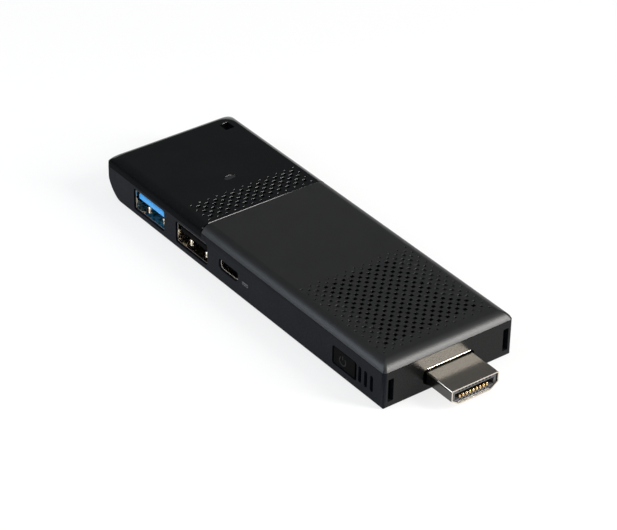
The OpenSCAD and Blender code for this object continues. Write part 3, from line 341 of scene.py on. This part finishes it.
# Cooling
# A copper sheet on bronze posts takes the processor's heat through a silicone pad to aluminium fins at the
# front, and a flat blower with a curved-blade rotor draws air in through the grille and over the fins.
copper_sheet = plated(
    "copper_sheet", dark=(0.6, 0.32, 0.2), light=(0.75, 0.43, 0.29), rough=(0.25, 0.4),
    streak=0.15, relief=0.004
)
aluminium_fin = plated(
    "aluminium_fin", dark=(0.6, 0.61, 0.62), light=(0.74, 0.75, 0.76), rough=(0.25, 0.38),
    streak=0.12, relief=0.003
)
sleeve_bronze = plated(
    "sleeve_bronze", dark=(0.5, 0.36, 0.16), light=(0.62, 0.46, 0.22), rough=(0.3, 0.45),
    streak=0.12, relief=0.004
)
shaft_steel = plated(
    "shaft_steel", dark=(0.58, 0.58, 0.6), light=(0.7, 0.7, 0.72), rough=(0.1, 0.18),
    streak=0.1, relief=0.001
)
coil_winding = plated(
    "coil_winding", dark=(0.42, 0.2, 0.09), light=(0.6, 0.3, 0.14), rough=(0.2, 0.35),
    streak=0.08, relief=0.02
)
pad_silicone = moulded(
    "pad_silicone", dark=(0.22, 0.3, 0.36), light=(0.3, 0.38, 0.44), rough=(0.6, 0.75),
    grain=0.2, relief=0.02
)
fan_plastic = moulded(
    "fan_plastic", dark=(0.011, 0.011, 0.012), light=(0.018, 0.018, 0.019), rough=(0.38, 0.5),
    grain=0.15, relief=0.01
)
foam = moulded(
    "foam", dark=(0.014, 0.014, 0.015), light=(0.03, 0.03, 0.031), rough=(0.85, 0.95),
    grain=0.3, relief=0.12
)
dress(copper_sheet, "heat_spreader")
dress(sleeve_bronze, "spreader_posts", "blower_sleeve")
dress(screw_steel, "spreader_screws", "blower_screws")
dress(pad_silicone, "thermal_pad")
dress(aluminium_fin, "fin_stack")
dress(fan_plastic, "blower_housing", "blower_plate", "blower_rotor")
dress(coil_winding, "blower_stator")
dress(shaft_steel, "blower_shaft")
dress(foam, "foam_ring")


# Port-side sockets
# Two full-size sockets, each a folded box of nickel-plated sheet round a moulded tongue, blue in the
# fast one and black in the other. The boxes' fingers are cut from the sheet, bent in and dimpled.
NICKEL = {
    "dark": (0.7, 0.64, 0.56), "light": (0.8, 0.73, 0.63), "rough": (0.13, 0.22), "streak": 0.09,
    "relief": 0.0012
}
SIDEWAYS = (0.75, 0.95)
SOCKET_EDGE_R = 0.045 * MM
TONGUE_EDGE_R = 0.1 * MM
TONGUE_NOSE = 1 * MM
SHEET_T = 0.3 * MM
FINGER_X = 3.275 * MM
FINGER_RISE = 0.55 * MM
DOME_IN = 2.2 * MM
DOME_SUNK = 0.1 * MM
FLOOR_DOME = (0.8 * MM, 0.55 * MM, 0.55 * MM)
WALL_DOME = (0.3 * MM, 0.5 * MM, 0.7 * MM)
socket_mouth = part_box("blue_socket_shell")[0].y


def paint_side_shade(material, colour):
    """Paints the faces that look sideways darker: painted shade for the dark surroundings they reflect."""
    sideways = reckon(material, "ABSOLUTE", axes_of(material, "Normal")["Y"])
    paint_over(material, stretch(material, sideways, SIDEWAYS), colour)


def at_socket_mouth(point):
    return abs(point.y - socket_mouth) < NEAR


def add_dome(bm, place, radii):
    """A small rounded boss."""
    dome = bmesh.ops.create_uvsphere(bm, u_segments=16, v_segments=10, radius=1)["verts"]
    bmesh.ops.scale(bm, vec=radii, verts=dome)
    bmesh.ops.translate(bm, vec=place, verts=dome)


nickel_sheet = plated("nickel_sheet", **NICKEL)
socket_nickel_side_shaded = plated("socket_nickel_side_shaded", **NICKEL)
# Painted shade: the socket boxes' sideways faces are painted darker.
paint_side_shade(socket_nickel_side_shaded, (0.14, 0.13, 0.12))
blue_plastic = moulded(
    "blue_plastic", dark=(0.034, 0.375, 0.86), light=(0.047, 0.43, 0.93), rough=(0.3, 0.42),
    grain=0.2, relief=0.008
)
black_plastic = moulded(
    "black_plastic", dark=(0.0018, 0.0018, 0.0019), light=(0.0026, 0.0026, 0.0027), rough=(0.3, 0.4),
    grain=0.2, relief=0.006, shine=0.012
)
for colour, tongue_plastic in (("blue", blue_plastic), ("black", black_plastic)):
    shell, tongue = f"{colour}_socket_shell", f"{colour}_socket_tongue"
    shell_low, shell_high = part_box(shell)
    tongue_low, tongue_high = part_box(tongue)
    finish_piece(
        with_soft_edges(shell, SOCKET_EDGE_R, at_socket_mouth), f"{colour}_socket_box", socket_nickel_side_shaded,
        "case", "nickel_sheet", shell
    )
    finish_piece(
        with_soft_edges(tongue, TONGUE_EDGE_R, lambda point: point.y < tongue_low.y + TONGUE_NOSE),
        f"{colour}_socket_moulding", tongue_plastic, "case", f"{colour}_plastic", tongue
    )
    middle = (tongue_low.x + tongue_high.x) / 2
    dome_y = socket_mouth + DOME_IN
    floor_z = shell_low.z + SHEET_T + FINGER_RISE - DOME_SUNK
    wall_x = tongue_high.x - middle - FINGER_RISE
    wall_z = (shell_low.z + shell_high.z) / 2
    bm = bmesh.new()
    for side in (-1, 1):
        add_dome(bm, (middle + side * FINGER_X, dome_y, floor_z), FLOOR_DOME)
        add_dome(bm, (middle + side * wall_x, dome_y, wall_z), WALL_DOME)
    finish_piece(bm, f"{colour}_socket_finger_domes", nickel_sheet, "case", "nickel_sheet")
dress(gold_contact, "blue_socket_contacts", "black_socket_contacts")


# Power inlet and card socket
# The inlet is a drawn nickel-plated shell with slanted lower corners round a black tongue. The card socket
# behind the far wall is a stamped cover over a black moulded frame with eight spring contacts.
INLET_EDGE_R = 0.07 * MM
inlet_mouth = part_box("inlet_shell")[0].y


def at_inlet_mouth(point):
    return abs(point.y - inlet_mouth) < NEAR


finish_piece(
    with_soft_edges("inlet_shell", INLET_EDGE_R, at_inlet_mouth), "inlet_sleeve", nickel_sheet, "case",
    "nickel_sheet", "inlet_shell"
)
dress(black_plastic, "inlet_tongue", "card_socket_base")
dress(can_tin, "card_socket_shell")
dress(gold_contact, "card_contacts")


# Video plug
# A drawn shell of nickel-plated steel, slanted along its lower edges, round a black moulding that holds two
# rows of gold-plated contacts in a slot. The contacts' tips are rounded so that they ride into a socket, and
# a fine bright edge of the plug's collar shows over its opening in the front wall.
PLUG_EDGE_R = 0.13 * MM
PLUG_SLANT_H = 2 * MM
INSULATOR_EDGE_R = 0.06 * MM
CONTACTS = 9
CONTACT_PITCH = 1 * MM
LOWER_ROW_Z = 2.95 * MM
TIP_RADII = (0.35 * MM, 0.36 * MM, 0.6 * MM)
OPENING_TOP = 6.275 * MM
COLLAR = (0.6 * MM, 12.6 * MM, 0.03 * MM)
COLLAR_OUT = 0.024 * MM
COLLAR_RISE = 0.005 * MM
plug_low, plug_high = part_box("plug_shell")
insulator_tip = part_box("plug_insulator")[1].x


def on_plug_edges(point):
    at_tip = point.x > plug_high.x - NEAR
    return point.x > case_high.x and (at_tip or point.z < plug_low.z + PLUG_SLANT_H)


def at_insulator_tip(point):
    return point.x > insulator_tip - NEAR


plug_nickel_side_shaded = plated("plug_nickel_side_shaded", **NICKEL)
# Painted shade: the plug sleeve's sideways faces are painted darker.
paint_side_shade(plug_nickel_side_shaded, (0.09, 0.088, 0.084))
# Painted sheen: the plug's black moulding is given a mid-dark grey, lighter than the black plastic.
plug_black_painted_sheen = moulded(
    "plug_black_painted_sheen", dark=(0.05, 0.051, 0.054), light=(0.07, 0.071, 0.075), rough=(0.3, 0.4),
    grain=0.2, relief=0.006
)
finish_piece(
    with_soft_edges("plug_shell", PLUG_EDGE_R, on_plug_edges), "plug_sleeve", plug_nickel_side_shaded, "case",
    "nickel_sheet", "plug_shell"
)
finish_piece(
    with_soft_edges("plug_insulator", INSULATOR_EDGE_R, at_insulator_tip), "plug_moulding", plug_black_painted_sheen,
    "case", "black_plastic", "plug_insulator"
)
dress(gold_contact, "plug_contacts")
bm = bmesh.new()
for i in range(CONTACTS):
    contact_y = (i - (CONTACTS - 1) / 2) * CONTACT_PITCH
    add_dome(bm, (insulator_tip - TIP_RADII[0], contact_y, LOWER_ROW_Z), TIP_RADII)
finish_piece(bm, "plug_contact_tips", gold_contact, "case", "gold_contact")
collar_x = case_high.x + COLLAR_OUT - COLLAR[0] / 2
bm = bmesh.new()
collar = bmesh.ops.create_cube(bm, size=1)["verts"]
bmesh.ops.scale(bm, vec=COLLAR, verts=collar)
bmesh.ops.translate(bm, vec=(collar_x, 0, OPENING_TOP + COLLAR_RISE), verts=collar)
top_front = [v for v in collar if v.co.x > case_high.x and v.co.z > OPENING_TOP]
bmesh.ops.translate(bm, vec=(-COLLAR_OUT, 0, 0), verts=top_front)
finish_piece(bm, "plug_collar", nickel_sheet, "case", "nickel_sheet")


# Power button
# A black cap on a flange behind the wall, pressed against a push switch with a white plunger and a steel
# snap dome. The on-off symbol is moulded on its face as a fine raised line.
BUTTON_EDGE_R = 0.14 * MM
SYMBOL_X = 36.55 * MM
SYMBOL_Z = 4.75 * MM
SYMBOL_R = 1.15 * MM
SYMBOL_LINE = 0.26 * MM
SYMBOL_HEIGHT = 0.06 * MM
SYMBOL_GAP = radians(42)
BAR_UP = 0.75 * SYMBOL_R
RING_STEPS = 28
button_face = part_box("power_button")[0].y


def on_button_face(point):
    return point.y < button_face + NEAR


spring_steel = plated(
    "spring_steel", dark=(0.55, 0.55, 0.54), light=(0.68, 0.68, 0.66), rough=(0.18, 0.3),
    streak=0.1, relief=0.002
)
# Painted highlight: the raised symbol is a lighter grey than the black cap, for the light its edges catch.
symbol_painted_highlight = moulded(
    "symbol_painted_highlight", dark=(0.011, 0.011, 0.012), light=(0.014, 0.014, 0.015), rough=(0.3, 0.4),
    grain=0.1, relief=0.004, shine=0.08
)
finish_piece(
    with_soft_edges("power_button", BUTTON_EDGE_R, on_button_face), "power_button_cap", black_plastic,
    "button", "black_plastic", "power_button"
)
dress(black_plastic, "switch_body")
dress(white_plastic, "switch_plunger")
dress(spring_steel, "switch_dome")
bm = bmesh.new()
bar = bmesh.ops.create_cube(bm, size=1)["verts"]
bmesh.ops.scale(bm, vec=(SYMBOL_LINE, SYMBOL_HEIGHT, SYMBOL_R), verts=bar)
bmesh.ops.translate(bm, vec=(0, 0, BAR_UP), verts=bar)
section = bmesh.ops.create_grid(bm, x_segments=1, y_segments=1, size=0.5)["verts"]
bmesh.ops.scale(bm, vec=(SYMBOL_LINE, SYMBOL_HEIGHT, 1), verts=section)
bmesh.ops.translate(bm, vec=(SYMBOL_R, 0, 0), verts=section)
bmesh.ops.rotate(bm, cent=(0, 0, 0), matrix=Matrix.Rotation(SYMBOL_GAP - pi / 2, 3, "Y"), verts=section)
ring_start = [f for f in bm.faces if all(v in section for v in f.verts)]
bmesh.ops.spin(
    bm, geom=ring_start + list({e for f in ring_start for e in f.edges}), cent=(0, 0, 0), axis=(0, 1, 0),
    angle=2 * pi - 2 * SYMBOL_GAP, steps=RING_STEPS, use_merge=False
)
bmesh.ops.remove_doubles(bm, verts=bm.verts, dist=MERGE_DIST)
bmesh.ops.recalc_face_normals(bm, faces=bm.faces)
bmesh.ops.translate(bm, vec=(SYMBOL_X, button_face, SYMBOL_Z), verts=bm.verts)
finish_piece(bm, "power_symbol", symbol_painted_highlight, "button", "case_plastic")


# Front cover
# The matte snap-on moulding over the front. Its edges roll down to the crease, and a snap rim drops inside
# the walls. The air grille has 25 staggered rows of square holes, small at the border; a field of them that
# widens towards the front opens into the blower, and the rest are blind. Its sizes are in millimetres.
TINY = 1e-3
PITCH = 1.29
ROWS = 25
HOLE_W = 0.94
RING_HOLE_W = 0.6
EDGE_HOLE_W = 0.46
HOLE_DEPTH = 0.4
CELL_SLACK = 0.02
CELL_AREA = 1.1 * PITCH ** 2
COVER_T = 1.1
RIM_IN = 1.32
RIM_T = 0.9
RIM_DROP = 1.4
RIM_CORNER_R = 0.2
CREASE_Z = CASE_RIM_Z / MM
GROOVE = 0.08
ROLL_STEPS = 10
SEAM_BEVEL = 0.06
LOOKS_UP = 0.05
half_w = case_high.y / MM
lattice_half = ROWS / 2 * PITCH
row_lines = [-lattice_half + PITCH * k for k in range(ROWS + 1)]


def score(bm, faces, axis, lines):
    """Cuts faces along lines across an axis and returns all their parts."""
    for line in lines:
        point, across = Vector((0, 0, 0)), Vector((0, 0, 0))
        point[axis], across[axis] = line, 1
        verts = list({v for f in faces for v in f.verts})
        edges = list({e for f in faces for e in f.edges})
        parts = bmesh.ops.bisect_plane(
            bm, geom=verts + edges + faces, dist=CUT_DIST / MM, plane_co=point, plane_no=across
        )["geom"]
        faces = [part for part in parts if isinstance(part, bmesh.types.BMFace)]
    return faces


def between(faces, axis, low, high):
    return [f for f in faces if low < f.calc_center_bounds()[axis] < high]


def cover_outlines(end, top, roll_r, top_r, corner_r, skirt):
    """Outlines from the flat to the underside: the end, half width, height and corner radius of each."""
    reach = sqrt(roll_r ** 2 - (roll_r - top + CREASE_Z) ** 2)
    centre_z = top - roll_r
    start = asin(max(lattice_half - half_w + reach, 0) / roll_r)
    finish = acos((CREASE_Z + GROOVE - centre_z) / roll_r)
    outlines = []
    for i in range(ROLL_STEPS + 1):
        angle = start + (finish - start) * i / ROLL_STEPS
        inset = reach - roll_r * sin(angle)
        r = top_r + (corner_r - top_r) * (1 - inset / reach) ** 2
        outlines.append((end - inset, half_w - inset, centre_z + roll_r * cos(angle), r))
    if skirt < CREASE_Z:
        outlines.append((end, half_w, skirt + GROOVE, corner_r))
    rim_bottom = CREASE_Z - RIM_DROP
    for inset, z in (
        (RIM_IN, skirt + GROOVE), (RIM_IN, rim_bottom), (RIM_IN + RIM_T, rim_bottom),
        (RIM_IN + RIM_T, top - COVER_T)
    ):
        outlines.append((end - inset, half_w - inset, z, max(corner_r - inset, RIM_CORNER_R)))
    return outlines


def part_of_rim(v, edge_x, edge_y, top_r):
    """Where a vertex lies on the flat's rim: at a side, at the end, or at an angle round a corner."""
    out_x, out_y = v.co.x - edge_x + top_r, abs(v.co.y) - edge_y + top_r
    if out_x > -TINY and out_y > -TINY:
        return atan2(max(out_y, 0), max(out_x, 0))
    return "side" if out_x < 0 else "end"


def move_to_outline(parts, x, y, z, r):
    """Moves the rim's vertices out to an outline, each at its own part of it."""
    for v, part in parts.items():
        side = 1 if v.co.y > 0 else -1
        if part == "side":
            v.co = (v.co.x, side * y, z)
        elif part == "end":
            v.co = (x, v.co.y, z)
        else:
            v.co = (x - r + r * cos(part), side * (y - r + r * sin(part)), z)


def cover_plate(seam, end, top, roll_r, top_r, corner_r, skirt, engrave):
    """A cover's flat, scored, then rolled down to the crease, with the rim that drops inside the walls."""
    outlines = cover_outlines(end, top, roll_r, top_r, corner_r, skirt)
    edge_x, edge_y = outlines[0][:2]
    bm = bmesh.new()
    bmesh.ops.create_grid(bm, x_segments=1, y_segments=1, size=0.5)
    bmesh.ops.scale(bm, vec=(edge_x - seam, 2 * edge_y, 1), verts=bm.verts)
    bmesh.ops.translate(bm, vec=((edge_x + seam) / 2, 0, top), verts=bm.verts)
    bmesh.ops.bevel(
        bm, geom=[v for v in bm.verts if v.co.x > edge_x - TINY], offset=top_r, affect="VERTICES", segments=5,
        profile=0.5, material=-1, clamp_overlap=False
    )
    engrave(bm)
    rim = [e for e in bm.edges if e.is_boundary and not all(v.co.x < seam + TINY for v in e.verts)]
    parts = {v: part_of_rim(v, edge_x, edge_y, top_r) for e in rim for v in e.verts}
    move_to_outline(parts, *outlines[0])
    for outline in outlines[1:]:
        made = bmesh.ops.extrude_edge_only(bm, edges=rim)["geom"]
        new_parts = {}
        for v in (g for g in made if isinstance(g, bmesh.types.BMVert)):
            above = (e.other_vert(v) for e in v.link_edges)
            new_parts[v] = next(parts[other] for other in above if other in parts)
        parts = new_parts
        move_to_outline(parts, *outline)
        rim = [g for g in made if isinstance(g, bmesh.types.BMEdge) and all(v in parts for v in g.verts)]
    return bm


def lattice_cells(bm, first_x, columns, small_rings, bevel):
    """The lattice's staggered cells, each with its column and row, cut down to the width of its hole."""
    cells = []
    by_width = {HOLE_W: [], RING_HOLE_W: [], EDGE_HOLE_W: []}
    for face in bm.faces:
        centre = face.calc_center_bounds()
        at_c, at_r = (centre.x - first_x) / PITCH, centre.y / PITCH + (ROWS - 1) / 2
        c, r = round(at_c), round(at_r)
        is_cell = max(abs(at_c - c), abs(at_r - r)) < CELL_SLACK and face.calc_area() < CELL_AREA
        inside = 0 <= c < columns and 0 <= r < ROWS and abs(face.normal.z) > 0.99
        if is_cell and inside and (c + r) % 2 == 0:
            ring = min(c, r, columns - 1 - c, ROWS - 1 - r)
            width = EDGE_HOLE_W if ring == 0 else RING_HOLE_W if ring < small_rings else HOLE_W
            by_width[width].append(face)
            cells.append((face, c, r))
    for width, faces in by_width.items():
        thickness = (PITCH - width) / 2 - bevel / 2
        bmesh.ops.inset_individual(bm, faces=faces, thickness=thickness, depth=0, use_even_offset=True)
    return cells


def sink(bm, faces, top, bevel, slope, through, shade_walls):
    """Bevels the rims of faces and sinks them, blind or through to the underside, with or without darker,
    duller walls that are painted shade.
    """
    bmesh.ops.inset_individual(bm, faces=faces, thickness=bevel, depth=-slope * bevel, use_even_offset=True)
    floors = bmesh.ops.extrude_discrete_faces(bm, faces=faces)["faces"]
    for wall in {f for floor in floors for e in floor.edges for f in e.link_faces}:
        wall.material_index = 1 if shade_walls else 0
    for v in {v for f in floors for v in f.verts}:
        v.co.z = top - (COVER_T if through else HOLE_DEPTH)
    if through:
        bmesh.ops.delete(bm, geom=floors, context="FACES_ONLY")


def close_cover(bm, seam, under):
    """Closes the seam's end and the underside, bevels the seam's edge and turns millimetres to metres."""
    inner_y = half_w - RIM_IN - RIM_T
    inner = [
        v for v in bm.verts
        if v.co.x < seam + TINY and abs(v.co.z - under) < TINY and abs(abs(v.co.y) - inner_y) < TINY
    ]
    bm.edges.new(inner)
    at_seam = [e for e in bm.edges if len(e.link_faces) < 2 and all(v.co.x < seam + TINY for v in e.verts)]
    end_face = bmesh.ops.contextual_create(bm, geom=at_seam)["faces"][0]
    below = [e for e in bm.edges if len(e.link_faces) < 2]
    bmesh.ops.triangle_fill(bm, use_beauty=True, use_dissolve=False, edges=below)
    bmesh.ops.recalc_face_normals(bm, faces=bm.faces)
    upward = {f for f in bm.faces if f is not end_face and f.normal.z > LOOKS_UP}
    lip = [e for e in end_face.edges if any(f in upward for f in e.link_faces)]
    bmesh.ops.bevel(
        bm, geom=lip, offset=SEAM_BEVEL, offset_type="OFFSET", affect="EDGES", segments=1, profile=0.5,
        material=-1, clamp_overlap=False
    )
    bmesh.ops.scale(bm, vec=(MM, MM, MM), verts=bm.verts)


MATTE_TOP = 12
MATTE_ROLL_R = 3.3
MATTE_TOP_R = 0.3
MATTE_CORNER_R = 1
MATTE_BEVEL = 0.02
MATTE_SLOPE = 2
GRILLE_IN = 4.7
SMALL_RINGS = 2
PORT_BLIND, FAR_BLIND = 4, 5
PORT_FLARE, FAR_FLARE = 20, 17
matte_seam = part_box("front_cover")[0].x / MM
matte_end = case_high.x / MM
grille_x = matte_end - GRILLE_IN - (ROWS - 1) * PITCH
grille_lines = [grille_x + PITCH * (k - 0.5) for k in range(ROWS + 1)]


def score_grille(bm):
    strips = between(score(bm, bm.faces[:], 0, grille_lines), 0, grille_lines[0], grille_lines[-1])
    score(bm, strips, 1, row_lines[1:-1])


def opens(c, r):
    """Whether a cell is in the open field, which has fewer blind rows beside it after its flare columns."""
    ring = min(c, r, ROWS - 1 - c, ROWS - 1 - r)
    port = PORT_BLIND - max(0, c - PORT_FLARE)
    far = FAR_BLIND - max(0, c - FAR_FLARE)
    return ring >= SMALL_RINGS and r >= port and ROWS - 1 - r >= far


bm = cover_plate(
    matte_seam, matte_end, MATTE_TOP, MATTE_ROLL_R, MATTE_TOP_R, MATTE_CORNER_R, CREASE_Z, score_grille
)
cells = lattice_cells(bm, grille_x, ROWS, SMALL_RINGS, MATTE_BEVEL)
for through in (False, True):
    holes = [face for face, c, r in cells if opens(c, r) == through]
    sink(bm, holes, MATTE_TOP, MATTE_BEVEL, MATTE_SLOPE, through, shade_walls=through)
close_cover(bm, matte_seam, MATTE_TOP - COVER_T)
matte_cover = moulded(
    "matte_cover", dark=(0.0036, 0.0038, 0.004), light=(0.0054, 0.0056, 0.0058), rough=(0.38, 0.48),
    grain=0.2, relief=0.02, shine=0.56
)
# Painted shade: the holes' walls are a darker and less shiny copy of the covers' plastic.
hole_wall_painted_shade = moulded(
    "hole_wall_painted_shade", dark=(0.0016, 0.0016, 0.0017), light=(0.0024, 0.0024, 0.0025), rough=(0.5, 0.6),
    grain=0.2, relief=0.01, shine=0.05
)
finish_piece(bm, "front_cover_moulding", matte_cover, "case", "matte_cover", "front_cover", inner=hole_wall_painted_shade)


# Rear cover
# The polished snap-on moulding, modelled from its seam towards the rear end and then mirrored: a band of
# blind dimples, the window of the status light and the lanyard hole. A tongue passes under the matte cover.
GLOSS_TOP = 11.75
GLOSS_ROLL_R = 2.6
GLOSS_TOP_R = 3.4
GLOSS_CORNER_R = 0.6
GLOSS_BEVEL = 0.018
GLOSS_SLOPE = 1.3
GLOSS_SPAN = (10.2 * MM, 11.2 * MM)
TOP_SHINE = 0.5
BAND_IN = 1.1
BAND_COLUMNS = 7
BAND_SMALL_RINGS = 1
COVER_TONGUE_W = 31.9
RIM_GAP = 0.12
Window = namedtuple("Window", "x y width length corner_r margin")
windows = [
    Window(x=34.55, y=0, width=1.5, length=3.4, corner_r=0.7, margin=0.6),
    Window(x=55.35, y=13.8, width=3.1, length=2.7, corner_r=0.3, margin=0.35),
]
gloss_seam = (SEAM_GAP / 2 - seam_x) / MM
gloss_end = -case_low.x / MM
band_x = gloss_seam + BAND_IN
band_lines = [band_x + PITCH * (k - 0.5) for k in range(BAND_COLUMNS + 1)]


def score_rear(bm):
    flats = score(bm, bm.faces[:], 0, band_lines)
    score(bm, between(flats, 0, band_lines[0], band_lines[-1]), 1, row_lines)
    plain = between(bm.faces, 0, band_lines[-1], gloss_end)
    for window in windows:
        half_x, half_y = window.width / 2 + window.margin, window.length / 2 + window.margin
        front, rear = window.x - half_x, window.x + half_x
        plain = score(bm, plain, 0, [front, rear])
        score(bm, between(plain, 0, front, rear), 1, [window.y - half_y, window.y + half_y])
        plain = between(bm.faces, 0, rear, gloss_end)


def pane_at(bm, window):
    middle = Vector((window.x, window.y, GLOSS_TOP))
    return [f for f in bm.faces if (f.calc_center_bounds() - middle).length < NEAR / MM]


bm = cover_plate(
    gloss_seam, gloss_end, GLOSS_TOP, GLOSS_ROLL_R, GLOSS_TOP_R, GLOSS_CORNER_R, SKIRT_Z / MM, score_rear
)
cells = lattice_cells(bm, band_x, BAND_COLUMNS, BAND_SMALL_RINGS, GLOSS_BEVEL)
dimples = [face for face, c, r in cells]
sink(bm, dimples, GLOSS_TOP, GLOSS_BEVEL, GLOSS_SLOPE, through=False, shade_walls=True)
for window in windows:
    pane = pane_at(bm, window)
    thickness = window.margin - GLOSS_BEVEL
    bmesh.ops.inset_individual(bm, faces=pane, thickness=thickness, depth=0, use_even_offset=True)
    bmesh.ops.bevel(
        bm, geom=pane[0].verts[:], offset=window.corner_r, affect="VERTICES", segments=5, profile=0.5,
        material=-1, clamp_overlap=False
    )
    sink(bm, pane_at(bm, window), GLOSS_TOP, GLOSS_BEVEL, GLOSS_SLOPE, through=True, shade_walls=True)
close_cover(bm, gloss_seam, GLOSS_TOP - COVER_T)
bmesh.ops.scale(bm, vec=(-1, 1, 1), verts=bm.verts)
bmesh.ops.reverse_faces(bm, faces=bm.faces)
tongue_l = 2 * (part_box("rear_cover")[1].x - seam_x)
tongue_z = (MATTE_TOP - COVER_T - RIM_GAP - COVER_T / 2) * MM
cover_tongue = bmesh.ops.create_cube(bm, size=1)["verts"]
bmesh.ops.scale(bm, vec=(tongue_l, COVER_TONGUE_W * MM, COVER_T * MM), verts=cover_tongue)
bmesh.ops.translate(bm, vec=(seam_x, 0, tongue_z), verts=cover_tongue)
gloss_cover = moulded(
    "gloss_cover", dark=(0.0035, 0.0039, 0.0042), light=(0.0046, 0.005, 0.0054), rough=(0.05, 0.08),
    grain=0.5, relief=0.0006, shine=0.01
)
grade_shine(gloss_cover, "Z", GLOSS_SPAN, TOP_SHINE)
finish_piece(bm, "rear_cover_moulding", gloss_cover, "case", "gloss_cover", "rear_cover", inner=hole_wall_painted_shade)


# Status light
# An acrylic pipe that carries the board's light up to the polished cover; it is painted dark as painted
# shade.
# It is moulded in one piece, and its end lies in the cover's window.
PIPE_EDGE_R = 0.16 * MM
PIPE_CLEAR = 0.2
pipe_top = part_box("light_pipe")[1].z


def on_pipe_end(point):
    return point.z > pipe_top - NEAR


# Painted shade: the pipe's base colour is dark, as the unlit clear pipe looks.
clear_plastic = moulded(
    "clear_plastic", dark=(0.02, 0.021, 0.022), light=(0.03, 0.031, 0.032), rough=(0.06, 0.12),
    grain=0.3, relief=0.002, shine=0.6
)
clear_plastic.node_tree.nodes["Principled BSDF"].inputs["Transmission Weight"].default_value = PIPE_CLEAR
finish_piece(
    with_soft_edges("light_pipe", PIPE_EDGE_R, on_pipe_end), "light_pipe_end", clear_plastic, "case",
    "clear_plastic", "light_pipe"
)


# Studio
# A pale paper floor and a low paper screen behind the rear end. A tall soft box stands beyond the plug's far
# corner, a wide weak one overhead, and small ones at the front and, cool, at the port side. The camera is at
# the photograph's place.
WHITE_SHARE = 0.75
FLOOR_HALF = 4
FLOOR_DROP = 0.02 * MM
SCREEN_HALF_W = 0.6
SCREEN_HALF_H = 0.165
SCREEN_AWAY = 1
SCREEN_AZIMUTH = radians(140)
CAMERA_PLACE = (0.409011, -0.313986, 0.346109)
CAMERA_AZIMUTH = radians(52.601)
CAMERA_DOWN = radians(33.555)
CAMERA_ROLL = radians(1.112)
paper, sheet = new_finish("paper")
sheet.inputs["Base Color"].default_value = (0.93, 0.93, 0.93, 1)
sheet.inputs["Roughness"].default_value = 0.9
sheet.inputs["Specular IOR Level"].default_value = 0.1
nodes, links = paper.node_tree.nodes, paper.node_tree.links
white = nodes.new("ShaderNodeEmission")
white.inputs["Strength"].default_value = 1
rays = nodes.new("ShaderNodeLightPath").outputs
seen = rays["Is Camera Ray"]
for kind in ("Is Glossy Ray", "Is Transmission Ray"):
    seen = reckon(paper, "MAXIMUM", seen, rays[kind])
mixed = nodes.new("ShaderNodeMixShader")
links.new(reckon(paper, "MULTIPLY", seen, WHITE_SHARE), mixed.inputs[0])
links.new(sheet.outputs["BSDF"], mixed.inputs[1])
links.new(white.outputs["Emission"], mixed.inputs[2])
links.new(mixed.outputs["Shader"], nodes["Material Output"].inputs["Surface"])


def paper_sheet(name, half_x, half_y, turn):
    """A flat sheet of the paper, turned and moved into its place."""
    bm = bmesh.new()
    corners = bmesh.ops.create_grid(bm, x_segments=1, y_segments=1, size=1)["verts"]
    bmesh.ops.scale(bm, vec=(half_x, half_y, 1), verts=corners)
    bmesh.ops.transform(bm, matrix=turn, verts=corners)
    mesh = bpy.data.meshes.new(name)
    bm.to_mesh(mesh)
    bm.free()
    mesh.materials.append(paper)
    piece = bpy.data.objects.new(name, mesh)
    bpy.context.scene.collection.objects.link(piece)


def soft_box(name, place, width, height, watts, colour):
    """A rectangular lamp that faces the object."""
    lamp = bpy.data.lights.new(name, "AREA")
    lamp.shape = "RECTANGLE"
    lamp.size, lamp.size_y = width, height
    lamp.energy = watts
    lamp.color = colour
    holder = bpy.data.objects.new(name, lamp)
    holder.location = place
    holder.rotation_euler = (-Vector(place)).to_track_quat("-Z", "Y").to_euler()
    bpy.context.scene.collection.objects.link(holder)


paper_sheet("floor", FLOOR_HALF, FLOOR_HALF, Matrix.Translation((0, 0, -FLOOR_DROP)))
upright = Matrix.Rotation(pi / 2, 4, "Z") @ Matrix.Rotation(pi / 2, 4, "X")
screen_place = Matrix.Translation((SCREEN_AWAY, 0, SCREEN_HALF_H))
paper_sheet(
    "screen", SCREEN_HALF_W, SCREEN_HALF_H, Matrix.Rotation(SCREEN_AZIMUTH, 4, "Z") @ screen_place @ upright
)
world = bpy.data.worlds.new("studio")
world.use_nodes = True
world.node_tree.nodes["Background"].inputs["Color"].default_value = (0.95, 0.98, 1, 1)
world.node_tree.nodes["Background"].inputs["Strength"].default_value = 0.09
bpy.context.scene.world = world
soft_box("key_box", (0.654, 0.475, 0.394), width=0.22, height=0.66, watts=11.5, colour=(1, 0.985, 0.955))
soft_box("top_box", (0.1, 0, 1), width=1.2, height=1.2, watts=4.5, colour=(1, 1, 1))
soft_box("front_box", (0.657, -0.437, 0.387), width=0.15, height=0.15, watts=0.7, colour=(1, 1, 1))
soft_box("port_box", (-0.108, -0.283, 0.173), width=0.24, height=0.2, watts=0.62, colour=(0.8, 0.89, 1))
camera_data = bpy.data.cameras.new("camera")
camera_data.lens = 149.457
camera_data.sensor_width = 36
camera_data.clip_end = 20
camera = bpy.data.objects.new("camera", camera_data)
turned = (
    Matrix.Rotation(CAMERA_AZIMUTH, 4, "Z") @ Matrix.Rotation(pi / 2 - CAMERA_DOWN, 4, "X")
    @ Matrix.Rotation(CAMERA_ROLL, 4, "Z")
)
camera.matrix_world = Matrix.Translation(CAMERA_PLACE) @ turned
bpy.context.scene.collection.objects.link(camera)
bpy.context.scene.camera = camera
bpy.context.scene.view_settings.view_transform = "Standard"
